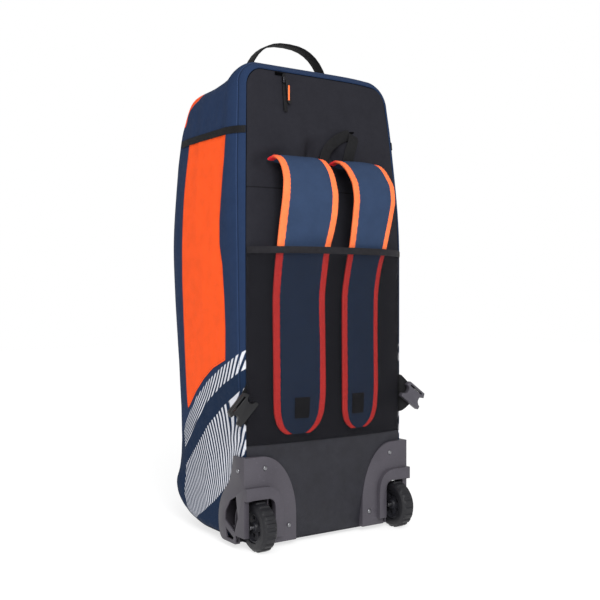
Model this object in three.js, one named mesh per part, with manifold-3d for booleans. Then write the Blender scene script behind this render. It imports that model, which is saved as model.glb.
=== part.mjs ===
// A wheeled stand-up kit bag: a soft shell of panels, a stow pocket with two backpack straps
// tucked into it, moulded wheel housings, wheels, webbing, buckles and a small zip.
// Millimetres, +Z up. The strap face looks to -Y, the plain front to +Y, and X runs across.
import * as THREE from 'three';
import Module from 'manifold-3d';

const wasm = await Module();
wasm.setup();

// Driving sizes of the shell
const panelWidth = 376;
const bagDepth = 318;
const shellHeight = 911;
const baseHeight = 8;
const wall = 2.4;
const gap = 0.4;
const sideSwell = 14;
const frontSwell = 24;
const frontCrown = 12;
const backSwell = 3;
const edgeSetback = 9;
const shoulderTaper = 15;
const shoulderLean = 22;
const shoulderStart = 552;
const footCorner = 28;

// Driving sizes of the strap face
const kickHeight = 190;
const pocketHeight = 375;
const pocketDepth = 56;
const meshThickness = 1.2;
const bandHeight = 13;
const bandThickness = 2;
const strapWidth = 111;
const strapFall = 530;
const strapReach = 78;
const strapThickness = 11;
const strapEdgeThickness = 5;
const bindingWidth = 17;
const bindingThickness = 4;
const leftStrapX = -138;
const rightStrapX = 3;
const strapFootHeight = 208;
const tabWidth = 32;
const tabLength = 44;
const webbingThickness = 1.6;
const webbingWidth = 22;

// Driving sizes of the wheels and their housings
const wheelRadius = 47;
const wheelWidth = 30;
const wheelInset = 22;
const wheelY = -4;
const hubRadius = 29;
const axleRadius = 4;
const lugCount = 20;
const lugDepth = 2.5;
const wheelClearance = 6;
const housingWidth = 107;
const housingHeight = 167;
const housingReach = 95;
const housingFloor = 10;
const housingWall = 3;
const housingProud = 3;
const fenderProud = 14;
const fenderWidth = 22;
const rivetRadius = 5;

// Driving sizes of the smaller pieces
const sideBandHeight = 14;
const sideBandThickness = 1.2;
const sideBandLevel = 0.865;
const flashThickness = 1;
const handleSpan = 102;
const handleRise = 104;
const handleShift = 6;
const handleWidth = 28;
const handleThickness = 3;
const handleTab = 46;
const zipLength = 76;
const zipX = -92;
const zipWidth = 14;
const trimThickness = 1.4;
const footLength = 64;
const footWidth = 26;
const footInset = 60;
const footPlace = 0.68;
const buckleLength = 44;
const buckleWidth = 30;
const buckleThickness = 9;

// Surface finishes
const finish = (color, roughness, metalness = 0) => (
  new THREE.MeshStandardMaterial({ color, roughness, metalness })
);
const navyCloth = finish(0x1f3352, 0.8);
const orangeCloth = finish(0xff5a1e, 0.75);
const blackCloth = finish(0x1b1c20, 0.82);
const coatedCloth = finish(0x35363b, 0.6);
const meshCloth = finish(0x202126, 0.85);
const webbing = finish(0x151517, 0.8);
const mouldedGrey = finish(0x454447, 0.5);
const tyreRubber = finish(0x262628, 0.65);
const hubPlastic = finish(0x2f2f33, 0.45);
const steel = finish(0x9a9a9c, 0.35, 0.9);
const bucklePlastic = finish(0x3a3b3e, 0.4);

// Sections of the shell from the strap face (0) to the front (1), each a share of a named
// size: side of half the panel width, swell of the side swell, top and foot of the shell
// height, corner of half the panel width
const sections = [
  { at: 0.000, side: 1.000, swell: 0.00, top: 1.000, foot: 0.000, corner: 0.21 },
  { at: 0.030, side: 1.000, swell: 0.45, top: 1.008, foot: 0.000, corner: 0.21 },
  { at: 0.075, side: 1.000, swell: 0.80, top: 1.015, foot: 0.000, corner: 0.23 },
  { at: 0.140, side: 1.000, swell: 1.00, top: 1.009, foot: 0.000, corner: 0.23 },
  { at: 0.230, side: 1.000, swell: 1.00, top: 0.996, foot: 0.000, corner: 0.22 },
  { at: 0.500, side: 1.000, swell: 1.00, top: 0.983, foot: 0.000, corner: 0.21 },
  { at: 0.680, side: 1.000, swell: 0.90, top: 0.981, foot: 0.008, corner: 0.22 },
  { at: 0.790, side: 0.998, swell: 0.70, top: 0.952, foot: 0.017, corner: 0.28 },
  { at: 0.880, side: 0.970, swell: 0.45, top: 0.897, foot: 0.034, corner: 0.35 },
  { at: 0.950, side: 0.905, swell: 0.25, top: 0.838, foot: 0.061, corner: 0.39 },
  { at: 1.000, side: 0.800, swell: 0.15, top: 0.771, foot: 0.082, corner: 0.43 },
];

// Swell of the sides and of the front by height, as shares of the two swells
const levels = [
  { at: 0.00, side: 0.70, front: 0.00 },
  { at: 0.08, side: 0.55, front: -0.16 },
  { at: 0.22, side: 0.35, front: -0.20 },
  { at: 0.40, side: 0.65, front: 0.92 },
  { at: 0.60, side: 1.16, front: 1.76 },
  { at: 0.80, side: 1.50, front: 1.14 },
  { at: 1.00, side: 1.28, front: 0.18 },
];

// Stow pocket: depth at its middle by height, as a share of its depth at the mouth
const pocketLevels = [
  { at: 0.00, depth: 0.04 },
  { at: 0.02, depth: 0.20 },
  { at: 0.05, depth: 0.36 },
  { at: 0.10, depth: 0.48 },
  { at: 0.27, depth: 0.57 },
  { at: 0.55, depth: 0.54 },
  { at: 0.73, depth: 0.54 },
  { at: 0.89, depth: 0.77 },
  { at: 1.00, depth: 1.00 },
];

// Shoulder straps from the root (0) to the foot (1): height as a share of the fall, the
// reach of the outer and inner edge of the left and of the right strap as shares of the
// greatest reach, inset of the edges as a share of half the strap width
const strapRows = [
  { at: 0.000, height: 0.994, outerL: -0.140, innerL: -0.085, innerR: -0.085, outerR: -0.110, inset: 0 },
  { at: 0.022, height: 1.000, outerL: 0.10, innerL: 0.12, innerR: 0.14, outerR: 0.10, inset: 0 },
  { at: 0.045, height: 0.993, outerL: 0.26, innerL: 0.30, innerR: 0.34, outerR: 0.26, inset: 0 },
  { at: 0.075, height: 0.974, outerL: 0.43, innerL: 0.48, innerR: 0.56, outerR: 0.45, inset: 0 },
  { at: 0.110, height: 0.942, outerL: 0.56, innerL: 0.67, innerR: 0.77, outerR: 0.64, inset: 0 },
  { at: 0.150, height: 0.902, outerL: 0.62, innerL: 0.79, innerR: 0.94, outerR: 0.81, inset: 0 },
  { at: 0.200, height: 0.853, outerL: 0.59, innerL: 0.87, innerR: 1.00, outerR: 0.85, inset: 0 },
  { at: 0.250, height: 0.800, outerL: 0.51, innerL: 0.84, innerR: 0.93, outerR: 0.77, inset: 0 },
  { at: 0.310, height: 0.734, outerL: 0.41, innerL: 0.71, innerR: 0.80, outerR: 0.63, inset: 0 },
  { at: 0.370, height: 0.674, outerL: 0.33, innerL: 0.54, innerR: 0.66, outerR: 0.50, inset: 0 },
  { at: 0.450, height: 0.592, outerL: 0.22, innerL: 0.41, innerR: 0.46, outerR: 0.28, inset: 0 },
  { at: 0.540, height: 0.483, outerL: 0.14, innerL: 0.30, innerR: 0.32, outerR: 0.15, inset: 0 },
  { at: 0.680, height: 0.350, outerL: 0.15, innerL: 0.32, innerR: 0.32, outerR: 0.14, inset: 0 },
  { at: 0.820, height: 0.160, outerL: 0.17, innerL: 0.34, innerR: 0.33, outerR: 0.16, inset: 0 },
  { at: 0.900, height: 0.085, outerL: 0.16, innerL: 0.31, innerR: 0.30, outerR: 0.15, inset: 0.02 },
  { at: 0.950, height: 0.040, outerL: 0.15, innerL: 0.26, innerR: 0.25, outerR: 0.15, inset: 0.14 },
  { at: 0.980, height: 0.014, outerL: 0.14, innerL: 0.22, innerR: 0.21, outerR: 0.14, inset: 0.32 },
  { at: 1.000, height: 0.000, outerL: 0.14, innerL: 0.20, innerR: 0.19, outerR: 0.14, inset: 0.52 },
];

const model = new THREE.Group();

function add(name, geometry, material) {
  const mesh = new THREE.Mesh(geometry, material);
  mesh.name = name;
  model.add(mesh);
  return mesh;
}

function smooth(value) {
  const t = THREE.MathUtils.clamp(value, 0, 1);
  return t * t * (3 - 2 * t);
}

// Reads a column of a table at a place between its rows, without overshoot
function follow(table, column, place) {
  const last = table.length - 1;
  let row = 0;
  while (row < last - 1 && place > table[row + 1].at) row += 1;
  const secant = (k) => (
    (table[k + 1][column] - table[k][column]) / (table[k + 1].at - table[k].at)
  );
  const slope = (k) => {
    if (k === 0) return secant(0);
    if (k === last) return secant(last - 1);
    const before = secant(k - 1);
    const after = secant(k);
    return before * after <= 0 ? 0 : (2 * before * after) / (before + after);
  };
  const span = table[row + 1].at - table[row].at;
  const t = THREE.MathUtils.clamp((place - table[row].at) / span, 0, 1);
  const rise = t * t * (3 - 2 * t);
  const leave = t * (1 - t) * (1 - t) * span;
  const arrive = t * t * (t - 1) * span;
  return table[row][column] * (1 - rise) + table[row + 1][column] * rise
    + slope(row) * leave + slope(row + 1) * arrive;
}

// A closed body from triangles given as corner numbers
function bodyFrom(points, triangles) {
  let volume = 0;
  const cross = new THREE.Vector3();
  triangles.forEach(([a, b, c]) => {
    volume += cross.crossVectors(points[b], points[c]).dot(points[a]);
  });
  const turned = volume < 0 ? triangles.map(([a, b, c]) => [a, c, b]) : triangles;
  const geometry = new THREE.BufferGeometry().setFromPoints(points);
  geometry.setIndex(turned.flat());
  geometry.computeVertexNormals();
  return geometry;
}

// A thin closed sheet between two grids of points with the same rows and columns
function sheetBetween(face, back) {
  const rows = face.length;
  const columns = face[0].length;
  const points = [...face.flat(), ...back.flat()];
  const under = rows * columns;
  const at = (i, j) => i * columns + j;
  const triangles = [];
  for (let i = 0; i < rows - 1; i += 1) {
    for (let j = 0; j < columns - 1; j += 1) {
      const [a, b, c, d] = [at(i, j), at(i, j + 1), at(i + 1, j + 1), at(i + 1, j)];
      triangles.push([a, b, c], [a, c, d]);
      triangles.push([under + a, under + c, under + b], [under + a, under + d, under + c]);
    }
  }
  const rim = [];
  for (let j = 0; j < columns - 1; j += 1) rim.push(at(0, j));
  for (let i = 0; i < rows - 1; i += 1) rim.push(at(i, columns - 1));
  for (let j = columns - 1; j > 0; j -= 1) rim.push(at(rows - 1, j));
  for (let i = rows - 1; i > 0; i -= 1) rim.push(at(i, 0));
  rim.forEach((a, k) => {
    const b = rim[(k + 1) % rim.length];
    triangles.push([a, under + a, b], [b, under + a, under + b]);
  });
  return bodyFrom(points, triangles);
}

// A closed body through rings of points, capped by fans at its two ends
function bodyThrough(rings) {
  const count = rings[0].length;
  const points = rings.flat();
  const triangles = [];
  for (let i = 0; i < rings.length - 1; i += 1) {
    for (let j = 0; j < count; j += 1) {
      const a = i * count + j;
      const b = i * count + ((j + 1) % count);
      triangles.push([a, b, b + count], [a, b + count, a + count]);
    }
  }
  const tail = points.length - count;
  for (let j = 1; j < count - 1; j += 1) {
    triangles.push([0, j + 1, j], [tail, tail + j, tail + j + 1]);
  }
  return bodyFrom(points, triangles);
}

// Flat strap along a path: across is the unit direction of its width at each point
function ribbon(path, across, width, thickness) {
  const rings = path.map((point, k) => {
    const before = path[Math.max(k - 1, 0)];
    const after = path[Math.min(k + 1, path.length - 1)];
    const along = new THREE.Vector3().subVectors(after, before).normalize();
    const side = across.clone().addScaledVector(along, -across.dot(along)).normalize();
    const up = new THREE.Vector3().crossVectors(along, side);
    const corner = (s, n) => point.clone()
      .addScaledVector(side, (s * width) / 2)
      .addScaledVector(up, (n * thickness) / 2);
    return [corner(-1, -1), corner(1, -1), corner(1, 1), corner(-1, 1)];
  });
  return bodyThrough(rings);
}

// Joins and cuts
function solidOf(geometry) {
  const position = geometry.getAttribute('position');
  const lookup = new Map();
  const corners = [];
  const numbers = [];
  for (let i = 0; i < position.count; i += 1) {
    const xyz = [position.getX(i), position.getY(i), position.getZ(i)];
    const key = xyz.map((value) => Math.round(value * 1e4)).join(',');
    if (!lookup.has(key)) {
      lookup.set(key, corners.length / 3);
      corners.push(...xyz);
    }
    numbers.push(lookup.get(key));
  }
  const index = geometry.index ? Array.from(geometry.index.array) : numbers.map((_, i) => i);
  const triVerts = [];
  for (let i = 0; i < index.length; i += 3) {
    const [a, b, c] = [numbers[index[i]], numbers[index[i + 1]], numbers[index[i + 2]]];
    if (a !== b && b !== c && c !== a) triVerts.push(a, b, c);
  }
  return new wasm.Manifold(new wasm.Mesh({
    numProp: 3,
    vertProperties: new Float32Array(corners),
    triVerts: new Uint32Array(triVerts),
  }));
}

function geometryOf(solid) {
  const mesh = solid.getMesh();
  const geometry = new THREE.BufferGeometry();
  geometry.setAttribute('position', new THREE.BufferAttribute(mesh.vertProperties, 3));
  geometry.setIndex(new THREE.BufferAttribute(mesh.triVerts, 1));
  geometry.computeVertexNormals();
  return geometry;
}

// A plate whose outline is drawn in X and Z, from one Y to another
function plateAlongY(shape, low, high, steps = 8) {
  const geometry = new THREE.ExtrudeGeometry(shape, {
    depth: high - low,
    bevelEnabled: false,
    curveSegments: steps,
  });
  geometry.rotateX(Math.PI / 2);
  geometry.translate(0, high, 0);
  return geometry;
}

// A plate whose outline is drawn in Y and Z, from one X to another
function plateAlongX(shape, low, high, steps = 8) {
  const geometry = new THREE.ExtrudeGeometry(shape, {
    depth: high - low,
    bevelEnabled: false,
    curveSegments: steps,
  });
  geometry.applyMatrix4(new THREE.Matrix4().makeBasis(
    new THREE.Vector3(0, 1, 0),
    new THREE.Vector3(0, 0, 1),
    new THREE.Vector3(1, 0, 0),
  ));
  geometry.translate(low, 0, 0);
  return geometry;
}

// A cylinder along X
function rod(radius, low, high, y, z, sides = 24) {
  const geometry = new THREE.CylinderGeometry(radius, radius, high - low, sides);
  geometry.rotateZ(Math.PI / 2);
  geometry.translate((low + high) / 2, y, z);
  return geometry;
}

function block(low, high) {
  const geometry = new THREE.BoxGeometry(high[0] - low[0], high[1] - low[1], high[2] - low[2]);
  geometry.translate((low[0] + high[0]) / 2, (low[1] + high[1]) / 2, (low[2] + high[2]) / 2);
  return geometry;
}

function shapeFrom(points) {
  return new THREE.Shape(points.map(([a, b]) => new THREE.Vector2(a, b)));
}

// Mirrors a geometry to the other side of the bag
function mirrored(geometry) {
  const copy = geometry.index ? geometry.toNonIndexed() : geometry.clone();
  copy.scale(-1, 1, 1);
  const position = copy.getAttribute('position');
  for (let i = 0; i < position.count; i += 3) {
    const b = new THREE.Vector3().fromBufferAttribute(position, i + 1);
    const c = new THREE.Vector3().fromBufferAttribute(position, i + 2);
    position.setXYZ(i + 1, c.x, c.y, c.z);
    position.setXYZ(i + 2, b.x, b.y, b.z);
  }
  copy.computeVertexNormals();
  return copy;
}

const halfPanel = panelWidth / 2;
const topHeight = baseHeight + shellHeight;

// Narrowing and lean of the upper part
function shoulder(z) {
  return smooth((z - baseHeight - shoulderStart) / (shellHeight - shoulderStart));
}

function lean(z, at) {
  return shoulderLean * shoulder(z) * (1 - at);
}

// Outline of a section: u runs 0 to 1 up the left side, to 2 round the left shoulder, to 3
// over the top, to 4 round the right shoulder, to 5 down the right side, to 6 round its
// foot, to 7 along the base and to 8 round the left foot
function sectionPoint(u, at) {
  const half = halfPanel * follow(sections, 'side', at);
  const top = baseHeight + shellHeight * follow(sections, 'top', at);
  const foot = baseHeight + shellHeight * follow(sections, 'foot', at);
  const upper = halfPanel * follow(sections, 'corner', at);
  const turn = ((u % 8) + 8) % 8;
  const leg = Math.floor(turn);
  const t = turn - leg;
  const mix = THREE.MathUtils.lerp;
  const arc = (x, z, radius, start) => {
    const angle = start - (t * Math.PI) / 2;
    return [x + radius * Math.cos(angle), z + radius * Math.sin(angle)];
  };
  if (leg === 0) return [-half, mix(foot + footCorner, top - upper, t)];
  if (leg === 1) return arc(-half + upper, top - upper, upper, Math.PI);
  if (leg === 2) return [mix(-half + upper, half - upper, t), top];
  if (leg === 3) return arc(half - upper, top - upper, upper, Math.PI / 2);
  if (leg === 4) return [half, mix(top - upper, foot + footCorner, t)];
  if (leg === 5) return arc(half - footCorner, foot + footCorner, footCorner, 0);
  if (leg === 6) return [mix(half - footCorner, -half + footCorner, t), foot];
  return arc(-half + footCorner, foot + footCorner, footCorner, -Math.PI / 2);
}

function shellPoint(u, at) {
  const [x, z] = sectionPoint(u, at);
  const share = (z - baseHeight) / shellHeight;
  const nearSide = Math.abs(x / halfPanel) ** 4;
  const swell = sideSwell * follow(sections, 'swell', at) * follow(levels, 'side', share);
  const narrowed = x * (1 - (shoulderTaper / halfPanel) * shoulder(z));
  const forward = frontSwell * follow(levels, 'front', share) * at ** 4;
  return new THREE.Vector3(
    narrowed + Math.sign(x) * swell * nearSide,
    bagDepth * at + edgeSetback * (1 - at) + lean(z, at) + forward,
    z,
  );
}

function shellNormal(u, at) {
  const step = 0.002;
  const low = Math.max(at - step, 0);
  const high = Math.min(at + step, 1);
  const alongU = shellPoint(u + step, at).sub(shellPoint(u - step, at));
  const alongAt = shellPoint(u, high).sub(shellPoint(u, low));
  return alongU.cross(alongAt).normalize();
}

// A sheet that follows the shell, between two heights above its outer face
function shellSheet(uList, atList, low, high) {
  const grid = (lift) => uList.map((u) => atList.map((at) => (
    shellPoint(u, at).addScaledVector(shellNormal(u, at), lift)
  )));
  return sheetBetween(grid(high), grid(low));
}

function spread(from, to, count) {
  return Array.from({ length: count + 1 }, (_, k) => from + ((to - from) * k) / count);
}

const depthSteps = [0, 0.03, 0.075, 0.14, 0.23, 0.37, 0.52, 0.68, 0.79, 0.88, 0.95, 1];
const seamTrim = gap / footCorner / Math.PI;

const leftU = [-0.5 + seamTrim, -0.25, ...spread(0, 1, 9), 1.25, 1.5 - seamTrim];
const topU = [1.5 + seamTrim, 1.75, ...spread(2, 3, 4), 3.25, 3.5 - seamTrim];
const baseU = [5.5 + seamTrim, 5.75, ...spread(6, 7, 4), 7.25, 7.5 - seamTrim];

// The face of the strap side at a place on it: it bulges inside its seam, and eases
// back to it over a share of the height at its foot and at its crown
const footEase = 0.09;
const crownEase = 0.22;
function backFaceY(x, z) {
  const across = 1 - Math.abs(x / halfPanel) ** 3;
  const share = (z - baseHeight) / shellHeight;
  const up = smooth(share / footEase) * smooth((1 - share) / crownEase);
  return lean(z, 0) + edgeSetback - (edgeSetback + backSwell) * across * up;
}

// Half the width of an upright panel with round corners at a height
function halfWidthAt(z, half, top, topCorner, foot, footRadius) {
  const above = z - (top - topCorner);
  const below = (foot + footRadius) - z;
  if (above > 0) return half - topCorner + Math.sqrt(Math.max(topCorner ** 2 - above ** 2, 0));
  if (below > 0) return half - footRadius + Math.sqrt(Math.max(footRadius ** 2 - below ** 2, 0));
  return half;
}

// An upright panel in the strap face between two heights, inside the ends of the gusset
const panelInset = wall + gap;
function backPanelSheet(zList, columns) {
  const inner = {
    half: halfPanel - panelInset,
    top: topHeight - panelInset,
    upper: halfPanel * sections[0].corner - panelInset,
    foot: baseHeight + panelInset,
    lower: footCorner - panelInset,
  };
  const grid = (lift) => zList.map((z) => {
    const straight = halfWidthAt(z, inner.half, inner.top, inner.upper, inner.foot, inner.lower);
    const half = straight * (1 - (shoulderTaper / halfPanel) * shoulder(z));
    return spread(-1, 1, columns).map((share) => {
      const x = share * half;
      return new THREE.Vector3(x, backFaceY(x, z) + lift, z);
    });
  });
  return sheetBetween(grid(0), grid(wall));
}

// Outline of the moulded corner seen from behind and from the side, for the left housing
function housingBackShape(grow) {
  const shape = new THREE.Shape();
  const outer = -halfPanel - sideSwell - grow;
  const inner = -halfPanel + housingWidth + grow;
  const shoulderX = -halfPanel + housingWidth * 0.28;
  const springZ = housingFloor + housingHeight * 0.28;
  shape.moveTo(outer, housingFloor - grow);
  shape.lineTo(inner, housingFloor - grow);
  shape.lineTo(inner, springZ);
  shape.absellipse(
    shoulderX,
    springZ,
    inner - shoulderX,
    housingFloor + housingHeight + grow - springZ,
    0,
    Math.PI / 2,
    false,
  );
  shape.lineTo(outer, housingFloor + housingHeight + grow);
  shape.closePath();
  return shape;
}

function housingSideShape(grow) {
  const shape = new THREE.Shape();
  const back = -housingProud - grow;
  const top = housingFloor + housingHeight + grow;
  const reach = housingReach + grow;
  shape.moveTo(back, housingFloor - grow);
  shape.lineTo(reach * 0.78, housingFloor - grow);
  shape.quadraticCurveTo(reach, housingFloor - grow, reach, housingFloor + housingHeight * 0.25);
  shape.quadraticCurveTo(
    reach * 0.98,
    housingFloor + housingHeight * 0.5,
    reach * 0.6,
    housingFloor + housingHeight * 0.66,
  );
  shape.quadraticCurveTo(reach * 0.44, housingFloor + housingHeight * 0.8, reach * 0.4, top);
  shape.lineTo(back, top);
  shape.closePath();
  return shape;
}

const housingSideX = -halfPanel - sideSwell * 0.5 - housingProud;
const housingInnerX = -halfPanel + housingWidth;

// The whole corner block that a housing fills, grown by a clearance
function cornerBlock(grow, sideX) {
  const front = housingReach + grow + 5;
  const behind = plateAlongY(housingBackShape(grow), -housingProud - grow, front, 10);
  const beside = plateAlongX(housingSideShape(grow), sideX - grow, housingInnerX + grow, 6);
  return solidOf(behind).intersect(solidOf(beside));
}

const wheelX = halfPanel - wheelInset;
const wellRadius = wheelRadius + wheelClearance;
const wellLow = -wheelX - wheelWidth / 2 - wheelClearance;
const wellHigh = -wheelX + wheelWidth / 2 + wheelClearance;

function buildHousing() {
  const outer = cornerBlock(0, housingSideX);
  const hollow = cornerBlock(-housingWall, housingSideX)
    .intersect(solidOf(block(
      [housingSideX + housingWall, -housingProud + housingWall, housingFloor + housingWall],
      [housingInnerX - housingWall, housingReach + 10, housingFloor + housingHeight - housingWall],
    )));
  const wellOuter = solidOf(rod(
    wellRadius + housingWall,
    wellLow - housingWall,
    wellHigh + housingWall,
    wheelY,
    wheelRadius,
    28,
  ));
  const wellInner = solidOf(rod(wellRadius, wellLow, wellHigh, wheelY, wheelRadius, 28));
  const insideWay = solidOf(block(
    [housingSideX + 2 * housingWall, housingReach * 0.55, housingFloor + housingHeight * 0.42],
    [housingInnerX - 2 * housingWall, housingReach + 10, housingFloor + housingHeight * 0.5],
  ));
  // The hood that stands proud round the wheel's mouth
  const hood = new THREE.Shape();
  const mouthSide = wellHigh + 10;
  const mouthTop = wheelRadius + wellRadius;
  hood.moveTo(housingSideX, mouthTop - 2);
  hood.lineTo(mouthSide - 14, mouthTop - 2);
  hood.quadraticCurveTo(mouthSide, mouthTop - 2, mouthSide, mouthTop - 20);
  hood.lineTo(mouthSide, housingFloor + 14);
  hood.lineTo(mouthSide + fenderWidth * 0.8, housingFloor + 14);
  hood.lineTo(mouthSide + fenderWidth * 0.8, mouthTop - 24);
  hood.quadraticCurveTo(
    mouthSide + fenderWidth * 0.7,
    mouthTop + fenderWidth,
    mouthSide - 22,
    mouthTop + fenderWidth,
  );
  hood.lineTo(housingSideX, mouthTop + fenderWidth);
  hood.closePath();
  const fender = solidOf(plateAlongY(hood, -fenderProud, -housingProud + 1, 6));
  const mouth = new THREE.Shape();
  mouth.moveTo(wellLow, -10);
  mouth.lineTo(mouthSide, -10);
  mouth.lineTo(mouthSide, mouthTop - 20);
  mouth.quadraticCurveTo(mouthSide, mouthTop - 2, mouthSide - 14, mouthTop - 2);
  mouth.lineTo(wellLow, mouthTop - 2);
  mouth.closePath();
  const mouthCut = solidOf(plateAlongY(mouth, -60, housingWall - housingProud + 0.5, 6));
  // Windows in the side, either side of a slanting strut, and the cut under the axle boss
  const window = solidOf(plateAlongX(shapeFrom([
    [27, 102], [50, 90], [68, 66], [70, 50], [32, 32], [20, 62],
  ]), housingSideX - 5, wellLow + 1));
  const lowerWindow = solidOf(plateAlongX(shapeFrom([
    [67, 36], [62, 17], [38, 17], [36, 22],
  ]), housingSideX - 5, wellLow + 1));
  const underBoss = solidOf(block(
    [housingSideX - 5, -60, -10],
    [wellLow + 1, 30, 27],
  ));
  const floorWay = solidOf(block(
    [wellLow, -60, -10],
    [wellHigh, wheelY + wellRadius * 0.8, housingFloor + housingWall + 1],
  ));
  return outer
    .subtract(hollow.subtract(wellOuter))
    .add(fender)
    .subtract(wellInner)
    .subtract(mouthCut)
    .subtract(window)
    .subtract(lowerWindow)
    .subtract(underBoss)
    .subtract(floorWay)
    .subtract(insideWay);
}

const housing = buildHousing();
const underHousing = solidOf(block(
  [-halfPanel - sideSwell * 2, -edgeSetback, 0],
  [housingInnerX + gap, housingReach * 0.78, housingFloor + gap],
));
const clearLeft = cornerBlock(gap, -halfPanel - sideSwell * 2).add(underHousing);
const clearRight = solidOf(mirrored(geometryOf(clearLeft)));

function clearOfHousings(geometry) {
  return geometryOf(solidOf(geometry).subtract(clearLeft).subtract(clearRight));
}

// Soft shell
const bottomZ = spread(baseHeight + panelInset, baseHeight + footCorner, 4);
const kickTop = baseHeight + kickHeight;
const shoulderCorner = halfPanel * sections[0].corner;
const crownZ = spread(0, 1, 5).map((share) => (
  topHeight - panelInset - (shoulderCorner - panelInset) * (1 - Math.sin((share * Math.PI) / 2))
));

const sidePanel = clearOfHousings(shellSheet(leftU, depthSteps, -wall, 0));
add('side_panel_left', sidePanel, navyCloth);
add('side_panel_right', mirrored(sidePanel), navyCloth);
add('top_gusset', shellSheet(topU, depthSteps, -wall, 0), navyCloth);
add('base_panel', clearOfHousings(shellSheet(baseU, depthSteps, -wall, 0)), navyCloth);
add('kick_plate', clearOfHousings(backPanelSheet([...bottomZ, kickTop - gap], 6)), coatedCloth);
add('back_panel', backPanelSheet([
  kickTop + gap,
  ...spread(kickTop + 60, baseHeight + shoulderStart, 4),
  ...spread(baseHeight + shoulderStart + 60, topHeight - shoulderCorner - 40, 4),
  ...crownZ,
], 8), blackCloth);

// Plain front: a crowned panel inside the last section
function frontSheet() {
  const end = sections[sections.length - 1];
  const top = baseHeight + shellHeight * end.top;
  const foot = baseHeight + shellHeight * end.foot;
  const half = halfPanel * end.side;
  const corner = halfPanel * end.corner;
  const rows = [
    ...spread(foot, foot + footCorner, 3),
    ...spread(foot + 90, top - corner, 6),
    ...spread(0, 1, 4).slice(1).map((s) => top - corner * (1 - Math.sin((s * Math.PI) / 2))),
  ];
  const grid = (inset, lift) => rows.map((z, k) => {
    const share = (z - baseHeight) / shellHeight;
    const inward = (z - (top + foot) / 2) / ((top - foot) / 2);
    const heightKept = z - inward * inset;
    const swell = sideSwell * end.swell * follow(levels, 'side', share) * 0.3;
    const width = halfWidthAt(z, half, top, corner, foot, footCorner) + swell - inset;
    const narrowed = width * (1 - (shoulderTaper / halfPanel) * shoulder(z));
    return spread(-1, 1, 8).map((x) => new THREE.Vector3(
      x * narrowed,
      bagDepth + frontSwell * follow(levels, 'front', share)
        + frontCrown * (1 - x ** 2) * (1 - inward ** 2) - lift,
      k === 0 || k === rows.length - 1 ? heightKept : z,
    ));
  });
  return sheetBetween(grid(panelInset, 0), grid(2 * panelInset, wall));
}
add('front_panel', frontSheet(), navyCloth);

// Thin pieces that lie on the side are cut from a skin that shares its facets
function sideSkin(thickness, shape) {
  const cover = solidOf(shellSheet(leftU, depthSteps, gap, gap + thickness));
  const cutter = solidOf(plateAlongX(shape, -panelWidth, 0));
  return geometryOf(cover.intersect(cutter));
}
function addToSides(name, geometry, material) {
  add(`${name}_left`, geometry, material);
  add(`${name}_right`, mirrored(geometry), material);
}

// Tape band across each side
const bandBack = bagDepth * 0.03;
const bandFront = bagDepth * 0.83;
const bandLow = baseHeight + shellHeight * sideBandLevel - sideBandHeight / 2;
const bandHigh = bandLow + sideBandHeight;
addToSides('side_band', sideSkin(sideBandThickness, shapeFrom([
  [bandBack, bandLow], [bandFront, bandLow], [bandFront, bandHigh], [bandBack, bandHigh],
])), webbing);

// Orange flash on each side: its outline as shares of the depth and of the shell height
const flashBack = [
  { y: 0.217, z: 0.859 },
  { y: 0.208, z: 0.804 },
  { y: 0.226, z: 0.740 },
  { y: 0.252, z: 0.678 },
  { y: 0.252, z: 0.627 },
  { y: 0.220, z: 0.584 },
  { y: 0.208, z: 0.510 },
  { y: 0.208, z: 0.448 },
  { y: 0.220, z: 0.382 },
];
const flashFoot = [
  { y: 0.365, z: 0.363 },
  { y: 0.500, z: 0.336 },
  { y: 0.613, z: 0.304 },
  { y: 0.748, z: 0.259 },
];
const flashFront = [
  { y: 0.767, z: 0.302 },
  { y: 0.777, z: 0.394 },
  { y: 0.783, z: 0.463 },
  { y: 0.783, z: 0.554 },
  { y: 0.764, z: 0.645 },
  { y: 0.742, z: 0.714 },
  { y: 0.726, z: 0.780 },
  { y: 0.689, z: 0.852 },
];
const flashTop = bandLow - gap;
const flashShape = shapeFrom([...flashBack, ...flashFoot, ...flashFront].map(({ y, z }) => (
  [bagDepth * y, Math.min(baseHeight + shellHeight * z, flashTop)]
)));
addToSides('side_flash', sideSkin(flashThickness, flashShape), orangeCloth);

// Orange trim that shows round the upper edge of the front
const trimLift = 3 * gap;
const mirroredU = leftU.map((u) => 5 - u).reverse();
const wrapU = [...leftU.slice(2, -1), 1.5, ...topU.slice(1, -1), 3.5, ...mirroredU.slice(1, -2)];
const trimCover = solidOf(shellSheet(wrapU, depthSteps, trimLift, trimLift + trimThickness));
const trimCutter = block(
  [-panelWidth, bagDepth * 0.87, baseHeight + shellHeight * 0.62],
  [panelWidth, bagDepth * 0.955, topHeight],
);
add('front_trim', geometryOf(trimCover.intersect(solidOf(trimCutter))), orangeCloth);

// Stow pocket of fine mesh with its mouth band
const pocketHalf = halfPanel - 4 * gap;
function pocketFace(share, level, lift) {
  const z = kickTop + pocketHeight * level;
  const depth = pocketDepth * follow(pocketLevels, 'depth', level) * (1 - Math.abs(share) ** 3);
  const x = share * pocketHalf;
  return new THREE.Vector3(x, backFaceY(x, z) - gap - depth - lift, z);
}
const pocketColumns = spread(-1, 1, 14);
const pocketRows = [0, 0.02, 0.05, 0.1, 0.27, 0.5, 0.73, 0.82, 0.9];
const bandShare = bandHeight / pocketHeight;

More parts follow.
